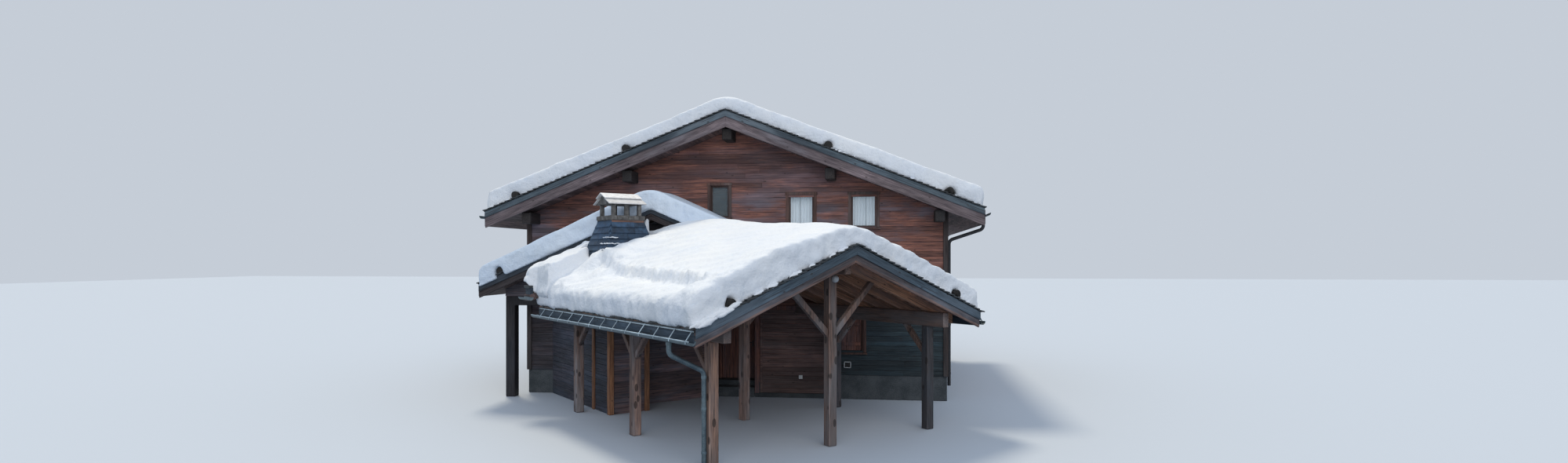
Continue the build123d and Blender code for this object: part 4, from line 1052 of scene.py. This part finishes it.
# %% Frame timbers
log_wood = wood("log_wood", turn=math.pi / 2, fresh=(0.010, 0.009, 0.009), dark=(0.004, 0.004, 0.004), weathering=0.0)
shaded_purlin_wood = wood("shaded_purlin_wood", turn=math.pi / 2, **SHADED_PURLIN)
framing = (
    ("carport_post_timbers", "carport_posts", 0.018, post_wood, "frame_timber"),
    ("carport_beam_timbers", "carport_beams", 0.012, beam_wood_turned, "frame_timber"),
    ("carport_brace_timbers", "carport_braces", 0.010, post_wood, "frame_timber"),
    ("carport_rafter_timbers", "carport_rafters", 0.006, sunlit_rafter_wood, "frame_timber"),
    ("main_purlin_timbers", "main_purlins", 0.014, shaded_purlin_wood, "frame_timber"),
    ("snow_stop_logs", "snow_logs", 0, log_wood, "frame_timber"),
    ("porch_timbers", "porch_frame", 0.014, porch_wood, "frame_timber"),
    ("entrance_frame_timbers", "entrance_frame", 0.005, siding_upright, "door_timber"),
    ("entrance_lining_boards", "entrance_linings", 0.005, siding_upright, "siding"),
    ("garage_lintel_board", "garage_lintel", 0.006, siding_x, "siding"),
    ("entrance_step_blocks", "entrance_steps", 0.010, concrete_finish, "concrete"),
    ("plinth_mass", "plinth", 0.010, concrete_finish, "concrete"),
)
for name, node, edge, finish, slot in framing:
    settle(from_solid(name, node, edge), finish, slot, node)
sunny_post = wood("sunny_post", upright=True, weathering=0.5, knots=0.23,
                  fresh=(0.48, 0.27, 0.18), dark=(0.17, 0.105, 0.085), grey=(0.29, 0.26, 0.25))
shady_post = wood("shady_post", upright=True, weathering=0.75, knots=0.23, fresh=(0.085, 0.072, 0.075),
                  dark=(0.035, 0.034, 0.040), grey=(0.062, 0.075, 0.092))
posts = bpy.data.objects["carport_post_timbers"].data
posts.materials.append(sunny_post)
posts.materials.append(shady_post)
for polygon in posts.polygons:
    local = polygon.center - CARPORT
    across, back = local.dot(across_vector), local.dot(back_vector)
    polygon.material_index = 2 if across > 2 else 1 if across < -2 and back < 1 else 0
print("post tones", len(posts.materials))

# %% [markdown]
# The wing's raised roof starts under the snow. Its front corner at the eave is drawn back to the end of the
# carport's own roof, by moving the few points of that corner along the ridge's direction.

# %% Wing roof
wing_deck = from_solid("wing_deck", "wing_roof", 0)
WING_START = 6.2
for vertex in wing_deck.data.vertices:
    local = vertex.co - CARPORT
    if abs(local.dot(back_vector) - WING_START) < 0.05 and local.dot(across_vector) < -3.0:
        vertex.co += back_vector * (CARPORT_BACK - WING_START)
settle(wing_deck, soffit_wing, "roof_boards", "wing_roof")

# %% [markdown]
# The garage door is faced with level boards in a plain frame, and the entrance door is made of upright planks with
# a small groove between them. The window beside the garage is closed by a shutter of upright boards with two
# ledges.

# %% Garage door, entrance door and shutter
DOOR_BOARD = 0.118
GARAGE_MIDDLE = 1.785
GARAGE_FACE = FRONT + 0.07
door_blocks = []
level = 0.12
while level < GARAGE_TOP - 0.01:
    tall = min(DOOR_BOARD, GARAGE_TOP - level)
    door_blocks.append(((GARAGE_MIDDLE, GARAGE_FACE - 0.006, level + tall / 2), (1.86, 0.022, tall - 0.007), LEVEL))
    level += DOOR_BOARD
for x in (0.825, 2.745):
    door_blocks.append(((x, GARAGE_FACE - 0.012, 1.25), (0.065, 0.036, 2.26), LEVEL))
door_blocks.append(((GARAGE_MIDDLE, GARAGE_FACE - 0.012, 2.345), (1.86, 0.036, 0.065), LEVEL))
garage_wood = wood("garage_wood", fresh=(0.150, 0.086, 0.074), dark=(0.072, 0.047, 0.046), weathering=0.3)
fit("garage_boards", door_blocks, 0.004, garage_wood, "garage_timber")
frame_blocks = [((x, FRONT - 0.016, 1.25), (0.12, 0.06, 2.26), LEVEL) for x in (0.72, GARAGE_RIGHT)]
frame_blocks.append(((GARAGE_MIDDLE, FRONT - 0.016, 2.44), (2.25, 0.06, 0.12), LEVEL))
fit("garage_surround", frame_blocks, 0.006, siding_upright, "siding")

LEAF_FOOT = 0.418
LEAF_TALL = 2.034
LEAF_Y = -4.14
HINGE = (-0.358, -4.103)
PLANKS = 8
leaf_left = ENTRANCE[0] + 0.08
leaf_right = ENTRANCE[1] - 0.08
plank = (leaf_right - leaf_left) / PLANKS
leaf_blocks = []
for number in range(PLANKS):
    middle = (leaf_left + (number + 0.5) * plank, LEAF_Y, LEAF_FOOT + LEAF_TALL / 2)
    leaf_blocks.append((middle, (plank, 0.05, LEAF_TALL), LEVEL))
fit("entrance_leaf", leaf_blocks, 0.005, siding_upright, "door_timber", "entrance_door", body="entrance_door")
knuckles = [((*HINGE, LEAF_FOOT + height - 0.03), (*HINGE, LEAF_FOOT + height + 0.03), 0.012)
            for height in (0.25, 1.78)]
settle(rods("hinge_knuckles", knuckles), iron_finish, "iron", body="entrance_door")

SHUTTER_X = SHUTTERED[0]
shutter_blocks = [((SHUTTER_X - 0.2025 + number * 0.135, FRONT + 0.062, 1.75), (0.132, 0.03, 0.88), LEVEL)
                  for number in range(4)]
shutter_blocks += [((SHUTTER_X, FRONT + 0.040, z), (0.50, 0.02, 0.09), LEVEL) for z in (1.48, 2.02)]
fit("shutter_boards", shutter_blocks, 0.004, siding_upright, "shutter", "closed_shutter")

# %% [markdown]
# A few small fittings show on the front: a pale vent low in the garage door, a meter box with a pale rim on the
# wall, and a round lamp under the carport's ridge.

# %% Small fittings
VENT_X = 1.91
BOX_X = 3.185
vent = [((VENT_X, GARAGE_FACE - 0.022, 0.56), (0.10, 0.012, 0.10), LEVEL)]
vent += [((VENT_X, GARAGE_FACE - 0.030, 0.527 + row * 0.022), (0.084, 0.008, 0.008), (0.5, 0, 0)) for row in range(4)]
fit("garage_vent", vent, 0.002, white_finish, "sheet_metal")
box_rim = [((x, FRONT - 0.04, 0.925), (0.02, 0.04, 0.17), LEVEL) for x in (3.10, 3.27)]
box_rim += [((BOX_X, FRONT - 0.04, z), (0.19, 0.04, 0.02), LEVEL) for z in (0.85, 1.00)]
fit("meter_box_rim", box_rim, 0.003, white_finish, "sheet_metal")
fit("meter_box_door", [((BOX_X, FRONT - 0.03, 0.925), (0.15, 0.03, 0.13), LEVEL)], 0.006, iron_finish, "iron")

bpy.ops.object.select_all(action="DESELECT")
bpy.ops.mesh.primitive_uv_sphere_add(segments=20, ring_count=10, radius=0.075)
lamp_glass = bpy.context.active_object
lamp_glass.name = "ridge_lamp"
bpy.ops.object.mode_set(mode="EDIT")
bpy.ops.mesh.select_all(action="SELECT")
bpy.ops.mesh.bisect(plane_co=(0, 0, 0.02), plane_no=(0, 0, 1), use_fill=True, clear_outer=True)
bpy.ops.mesh.extrude_region_move(TRANSFORM_OT_translate={"value": (0, 0, 0.03)})
bpy.ops.mesh.select_all(action="SELECT")
bpy.ops.transform.rotate(value=math.pi / 2, orient_axis="X", center_override=(0, 0, 0))
bpy.ops.transform.translate(value=(0.03, -0.125, 3.38))
bpy.ops.object.mode_set(mode="OBJECT")
bpy.ops.object.shade_smooth_by_angle(angle=math.radians(40))
settle(place_turned(lamp_glass), white_finish, "glass")

# %% [markdown]
# The gutters are half-round zinc. A rolled bead stiffens the outer rim, and bright straps run from the rim up to
# the roof's edge. The downpipes are the solids' own swan necks, and get collars where their lengths join.

# %% Gutter beads, straps and pipe collars
GUTTER = 0.075
STRAP_STEP = 0.60
rim_z = EAVE_Z - 0.21
main_rim_x = HALF_SPAN + 2 * GUTTER - 0.004
carport_rim_x = CARPORT_SPAN + 2 * GUTTER - 0.004
beads = [((side * main_rim_x, RAKE, main_eave_z - 0.12), (side * main_rim_x, -RAKE, main_eave_z - 0.12), 0.009)
         for side in (-1, 1)]
settle(rods("main_gutter_beads", beads), zinc_finish, "sheet_metal")
beads = []
strap_blocks = []
for side, end in ((-1, CARPORT_BACK + 0.2), (1, 3.85)):
    x = side * carport_rim_x
    beads.append(((x, CARPORT_RAKE, rim_z), (x, end, rim_z), 0.010))
    place = CARPORT_RAKE + 0.10
    while place < end - STRAP_STEP:
        low = Vector((x, place, rim_z + 0.006))
        high = Vector((side * (CARPORT_SPAN + 0.02), place, EAVE_Z - 0.035))
        lean = math.atan2(low.x - high.x, high.z - low.z)
        strap_blocks.append(((low + high) / 2, (0.005, 0.028, (high - low).length), (0, -lean, 0)))
        strap_blocks.append(((x + side * 0.006, place, rim_z - 0.02), (0.006, 0.028, 0.05), LEVEL))
        place += STRAP_STEP
settle(place_turned(rods("carport_gutter_beads", beads)), strap_finish, "sheet_metal")
fit("gutter_straps", strap_blocks, 0, strap_finish, "sheet_metal", turned=True)

POST_HALF = 0.10
PIPE = 0.045
pipe_a = -EAVE_ROW - POST_HALF - PIPE - 0.015
outlet_a = -CARPORT_SPAN - GUTTER
collars = [((pipe_a, 0, z), (pipe_a, 0, z + 0.05), 0.052) for z in (0.25, 1.05, 1.62)]
collars.append(((outlet_a, 0, rim_z - 0.13), (outlet_a, 0, rim_z - 0.07), 0.055))
settle(place_turned(rods("pipe_collars", collars, 20)), zinc_finish, "sheet_metal")
pipes = from_solid("pipe_tubes", "downpipes", 0)
bpy.ops.object.shade_smooth_by_angle(angle=math.radians(35))
settle(pipes, zinc_finish, "sheet_metal", "downpipes")
pipes.data.materials.append(dark_pipe_finish)
for polygon in pipes.data.polygons:
    polygon.material_index = 1 if polygon.center.x > HALF_WIDTH - 0.1 else 0
collars = [((HALF_WIDTH + 0.06, FRONT + 0.1, z), (HALF_WIDTH + 0.06, FRONT + 0.1, z + 0.05), 0.052)
           for z in (0.7, 2.0, 3.3)]
settle(rods("dark_pipe_collars", collars, 20), dark_pipe_finish, "sheet_metal")

# %% [markdown]
# The chimney's upper part is a flared skirt of shingle courses. Every course hangs over the one below it and stands
# off a little at its foot, which gives the stepped outline against the sky.

# %% Chimney shingles
SKIRT_LOW = 3.70
SKIRT_HIGH = 4.72
SKIRT_LOW_SIDE = 1.42
SKIRT_HIGH_SIDE = 0.79
COURSES = 7
QUARTER = math.pi / 2


def skirt_half(height):
    """Half of the skirt's width at a height."""
    return (SKIRT_LOW_SIDE - (height - SKIRT_LOW) / (SKIRT_HIGH - SKIRT_LOW) * (SKIRT_LOW_SIDE - SKIRT_HIGH_SIDE)) / 2


def by_chimney(along, out, turn, height):
    """A point along one face of the chimney and out from its middle, on the face with this turn."""
    local = Vector((along, -out, 0))
    local.rotate(Euler((0, 0, turn)))
    return CHIMNEY[0] + local.x, CHIMNEY[1] + local.y, height


course_rise = (SKIRT_HIGH - SKIRT_LOW) / COURSES
lean = math.atan((SKIRT_LOW_SIDE - SKIRT_HIGH_SIDE) / 2 / (SKIRT_HIGH - SKIRT_LOW))
shingle_blocks = []
for course in range(COURSES):
    middle_z = SKIRT_LOW + course * course_rise - 0.025 + 0.085
    half = skirt_half(middle_z)
    for face in range(4):
        turn = face * QUARTER
        along = -half - 0.02
        while along < half:
            width = min(chance.uniform(0.45, 0.95), half + 0.02 - along)
            distance = half + 0.022 + chance.uniform(-0.002, 0.004)
            middle = by_chimney(along + width / 2, distance, turn, middle_z + chance.uniform(-0.006, 0.006))
            tilt = -lean - chance.uniform(0.15, 0.18)
            shingle_blocks.append((middle, (max(width - 0.003, 0.02), 0.026, 0.185), (tilt, 0, turn)))
            along += width
fit("chimney_shingles", shingle_blocks, 0.004, shingle_finish, "shingles", turned=True)

# %% [markdown]
# Over the skirt come a brown band, a ledge set with small blocks, six pillars and a little roof of long pale boards.
# The boards lap over each other, and a boarded gable closes each end.

# %% Chimney crown and cap
LEDGE = 0.88
PILLAR_TOP = 5.12
CAP_RISE = 0.22
CAP_HALF = 0.47
ledge_blocks = []
band_blocks = []
for face in range(4):
    turn = face * QUARTER
    for number in range(6):
        middle = by_chimney(-0.37 + number * 0.148, LEDGE / 2 + 0.004, turn, 4.785)
        ledge_blocks.append((middle, (0.125, 0.03, 0.095), (0, 0, turn)))
    if face % 2 == 0:
        middle = by_chimney(0, SKIRT_HIGH_SIDE / 2 + 0.030, turn, 4.680)
        band_blocks.append((middle, (SKIRT_HIGH_SIDE + 0.07, 0.03, 0.09), (0, 0, turn)))
fit("crown_blocks", ledge_blocks, 0.006, crown_finish, "roof_boards", turned=True)
band_wood = wood("band_wood", fresh=(0.24, 0.115, 0.075), dark=(0.08, 0.045, 0.038), weathering=0.5, turn=TURN)
fit("crown_band", band_blocks, 0.004, band_wood, "roof_boards", turned=True)
settle(from_solid("crown_masonry", "chimney_crown", 0.012), crown_finish, "roof_boards", "chimney_crown")

cap_lean = math.atan(CAP_RISE / CAP_HALF)
slope_length = CAP_HALF / math.cos(cap_lean)
cap_blocks = []
for side in (-1, 1):
    for start, end, lift in ((0.0, 0.58, 0.040), (0.46, 1.06, 0.0)):
        run = (start + end) / 2 * slope_length
        middle = (CHIMNEY[0] - 0.03 + chance.uniform(-0.015, 0.015), CHIMNEY[1] + side * run * math.cos(cap_lean),
                  PILLAR_TOP + CAP_RISE + 0.020 - run * math.sin(cap_lean) + lift)
        size = (1.00, (end - start) * slope_length, 0.024)
        cap_blocks.append((middle, size, (-side * cap_lean * 0.97, 0, 0)))
fit("cap_boards", cap_blocks, 0.004, cap_finish, "roof_boards", "chimney_cap", turned=True)
plate = [((*CHIMNEY, PILLAR_TOP + 0.02), (0.86, 0.86, 0.04), LEVEL)]
fit("cap_plate", plate, 0.006, crown_finish, "roof_boards", turned=True)
cap_trims = [((0, CHIMNEY[1], PILLAR_TOP + CAP_RISE + 0.015), Vector((0, side * CAP_RISE, CAP_HALF)).normalized())
             for side in (-1, 1)]
gable_blocks = [((CHIMNEY[0] + side * 0.44, CHIMNEY[1] - 0.42 + number * 0.14, PILLAR_TOP + 0.2), (0.025, 0.135, 0.4),
                 LEVEL, *cap_trims) for side in (-1, 1) for number in range(7)]
fit("cap_gables", gable_blocks, 0.003, crown_finish, "roof_boards", turned=True)

# %% [markdown]
# The snow is the largest thing in the picture. Each blanket starts as a copy of its plain solid, is remeshed into
# even small faces, then smoothed until its edges are soft and round, and last its points are moved by slow and fast
# noise, because wind never leaves a flat surface. A heap that leans on a blanket is added to it first as a block.

# %% Helpers for snow
def snow_blanket(name, node, voxel, rounds, shape, heaps=()):
    """A snow piece from its solid and heaps. Shape gives the move of a point at a place with a normal."""
    piece = open_copy(name, node)
    for middle, size, turn in heaps:
        bpy.ops.mesh.primitive_cube_add(size=1, location=middle, rotation=turn, scale=size)
    bpy.ops.object.mode_set(mode="OBJECT")
    apply_modifier(piece, "REMESH", mode="VOXEL", voxel_size=voxel)
    apply_modifier(piece, "SMOOTH", factor=0.6, iterations=rounds)
    moves = [shape(vertex.co.copy(), vertex.normal.copy()) for vertex in piece.data.vertices]
    for vertex, move in zip(piece.data.vertices, moves):
        vertex.co += move
    only(piece)
    bpy.ops.object.shade_smooth()
    return piece


def lumps(place, size, seed=0.0):
    """Smooth noise between -1 and 1, whose bumps are about this size."""
    return noise.noise(Vector(place) / size + Vector((seed, 3 * seed, 7.0)))


def ramp(value, low, high):
    """Rises smoothly from 0 at low to 1 at high."""
    share = min(1.0, max(0.0, (value - low) / (high - low)))
    return share * share * (3 - 2 * share)


def plain_drift(place, normal):
    """Slow swells on the tops and smaller lumps on the sides; what lies on the tiles stays there."""
    if normal.z < -0.4:
        return Vector((0, 0, 0))
    side = max(0.0, 1 - normal.z)
    swell = 0.045 * lumps(place, 2.2) + 0.022 * lumps(place, 0.7, 2.0)
    crumbly = side * (0.045 * lumps(place, 0.42, 5.0) + 0.028 * lumps(place, 0.17, 9.0))
    return normal * (swell + crumbly)


def annex_drift(place, normal):
    """The annex's snow hangs a little over its front verge."""
    move = plain_drift(place, normal)
    tiles = ANNEX_RIDGE - ANNEX_SLOPE * abs(place.x - ANNEX_X)
    verge = 1 - ramp(place.y, ANNEX_RAKE + 0.08, ANNEX_RAKE + 0.30)
    hanging = verge * (1 - ramp(place.z - tiles, 0.0, 0.28))
    return move + Vector((0, -0.13 * verge, -0.10 * hanging))


# %% [markdown]
# The carport's snow has moved the most. On its left slope a slab has slid a little, so the snow lies lower below a
# rough edge. At the eave its face bulges out and hangs, at the chimney's foot it is banked up, and behind that it
# climbs onto the wing's raised roof. Each of these is a smooth ramp over the place on the roof.

# %% Snow of the carport
WING_EDGE = (6.92, 7.05)
SLIP_PLACE = -3.00


def carport_drift(place, normal):
    """The carport's snow: a slab that has slid a little, with a rough lower edge and a rounded face at the eave."""
    local = place - CARPORT
    across = local.dot(across_vector)
    back = local.dot(back_vector)
    height = place.z - EAVE_Z
    # At the wing's end the snow is lifted onto the raised roof, and beside the chimney it is tucked in
    on_wing = ramp(back, *WING_EDGE)
    wing_end = (1 - ramp(across, -3.5, -3.15)) * on_wing
    wing_lift = 0.28 * wing_end * (1 - ramp(place.z, 2.92, 3.5))
    tucked = across_vector * 0.7 * max(0.0, -3.56 - across) * ramp(back, 5.8, 6.2) * (1 - on_wing)
    if normal.z < -0.4:
        over_eave = 1 - ramp(across, -3.60, -3.40)
        return tucked + Vector((0, 0, wing_lift - 0.075 * over_eave * (1 - wing_end)))
    move = plain_drift(place, normal) * (1 - 0.65 * ramp(back, 5.7, 6.0)) + tucked
    top = max(0.0, normal.z)
    # Snow is banked up at the chimney's foot
    beside_chimney = ramp(across, -3.2, -2.5) * (1 - ramp(across, -2.4, -0.9))
    banked = ramp(back, 4.2, 5.2) * (1 - ramp(back, 5.7, 6.4)) * beside_chimney
    move.z += 0.33 * banked * top + wing_lift
    # Below a rough edge a slab has slipped away, so the snow lies lower there
    edge = SLIP_PLACE + 0.082 * back + 0.13 * lumps((back, 0, 0), 0.8, 4.0) + 0.07 * lumps((back, across, 0), 0.2, 6.0)
    lower = 1 - ramp(across, edge - 0.07, edge + 0.02)
    lip = ramp(across, edge - 0.45, edge - 0.1)
    move.z -= lower * (0.13 + 0.08 * lip) * ramp(back, -0.35, 0.15) * (1 - ramp(back, 5.3, 5.7)) * top
    behind = ramp(back, 1.8, 4.8) * ramp(across, -2.2, -1.0) * (1 - ramp(across, 1.5, 3.0))
    move.z += 0.15 * behind * top
    # The face at the eave bulges out and hangs a little
    hanging = (1 - ramp(across, -3.62, -3.30)) * (1 - top)
    move -= across_vector * 0.07 * hanging * ramp(height, 0.0, 0.16) * (1 - ramp(height, 0.30, 0.62))
    move.z -= 0.075 * hanging * (1 - ramp(height, 0.08, 0.35)) * (1 - wing_end)
    ridges = 0.014 * math.sin((back * 0.9 + across * 2.0) * 8 + 2.5 * lumps(place, 0.8, 1.0))
    rough_edge = math.exp(-((across - edge) / 0.18) ** 2) * 0.10 * lumps((across * 0.5, back, 0), 0.11, 12.0)
    return move + normal * (ridges + rough_edge) * top


# %% [markdown]
# The three blankets differ in how fine their faces are, how often they are smoothed and how they drift, and only
# the carport's has heaps. The annex's snow lies in the shade of the house, so it gets the bluer finish.

# %% Snow blankets
heaps = [
    (carport_point(-2.95, 6.42, 3.22), (1.42, 1.10, 0.50), (0, -0.50, TURN)),
    (carport_point(-3.38, 6.42, 2.93), (0.50, 1.26, 0.54), (0, 0, TURN)),
    (carport_point(*CHIMNEY, 3.52), (1.62, 1.62, 0.80), (0, -0.42, TURN)),
]
blankets = (
    ("main_snow", "snow_main", 0.085, 6, plain_drift, (), snow_finish),
    ("annex_snow", "snow_annex", 0.045, 14, annex_drift, (), shaded_snow),
    ("carport_snow", "snow_carport", 0.05, 12, carport_drift, heaps, snow_finish),
)
for name, node, voxel, rounds, shape, added, finish in blankets:
    settle(snow_blanket(name, node, voxel, rounds, shape, added), finish, "snow", node)

# %% [markdown]
# Small clods of snow lie on the tiles along both front verges and on the chimney's courses. One clod is a low
# sphere with its points pushed about, and each copy is made in the same edit with its own size.

# %% Snow clods
CLOD_ROUGHNESS = 0.025


def clods(name, places, seed):
    """Small lumps in one mesh, each with a place, a size, how far it is drawn out and a turn."""
    piece = empty_piece(name)
    for place, size, stretch, turn in places:
        bpy.ops.mesh.primitive_ico_sphere_add(subdivisions=2, radius=1, location=place, rotation=turn,
                                              scale=[size * share for share in stretch])
    bpy.ops.object.mode_set(mode="OBJECT")
    for vertex in piece.data.vertices:
        pushes = [lumps(vertex.co, 0.08, seed + step) for step in (0, 2, 4)]
        vertex.co += Vector(pushes) * CLOD_ROUGHNESS
    only(piece)
    bpy.ops.object.shade_smooth()
    return piece


def on_rake(away, y, lift):
    """A point over the carport's verge, this far from the ridge."""
    return away, CARPORT_RAKE + y, CARPORT_RIDGE - CARPORT_SLOPE * abs(away) + lift


places = []
angle = math.atan(CARPORT_SLOPE)
for away in (0.35, 0.62, 1.1, 1.45, 1.52, 2.0, 2.3, 2.75, 2.86, 3.0, 3.08, 3.3, 3.38, 3.46, 3.55):
    heap_size = chance.uniform(0.03, 0.055) + (0.022 if away > 2.8 else 0.0)
    places.append((on_rake(-away, 0.02, 0.055), heap_size, (2.6, 1.0, 0.8), (0, -angle, 0)))
for away, heap_size in ((3.42, 0.060), (3.30, 0.045), (3.07, 0.052), (2.96, 0.040)):
    places.append((on_rake(-away, -0.035, 0.02), heap_size, (2.7, 0.9, 0.8), (0, -angle, 0)))
for away in (0.5, 1.4, 2.2, 2.9, 3.2):
    places.append((on_rake(away, 0.02, 0.055), chance.uniform(0.02, 0.04), (2.0, 1.0, 0.8), (0, angle, 0)))
for course, face, start, end in ((4.29, 0, -0.53, -0.32), (4.145, 0, -0.58, -0.20), (4.29, 3, 0.30, 0.53),
                                 (4.145, 3, 0.25, 0.58), (4.0, 3, 0.35, 0.62)):
    turn = face * QUARTER
    along = start
    while along < end:
        size = chance.uniform(0.016, 0.028)
        middle = by_chimney(along, skirt_half(course) + 0.035, turn, course + size * 0.2)
        places.append((middle, size, (3.4, 1.3, 0.55), (0, 0, turn)))
        along += chance.uniform(0.05, 0.13)
settle(place_turned(clods("carport_clods", places, 1.0)), snow_finish, "snow")
places = []
angle = math.atan(SLOPE)
for number in range(46):
    away = chance.uniform(0.3, 6.6)
    side = -1 if number % 2 else 1
    middle = (side * away, RAKE + chance.uniform(-0.01, 0.03), RIDGE - SLOPE * away + 0.05)
    places.append((middle, chance.uniform(0.015, 0.035), (2.2, 1.0, 0.8), (0, side * angle, 0)))
settle(clods("main_clods", places, 5.0), snow_finish, "snow")
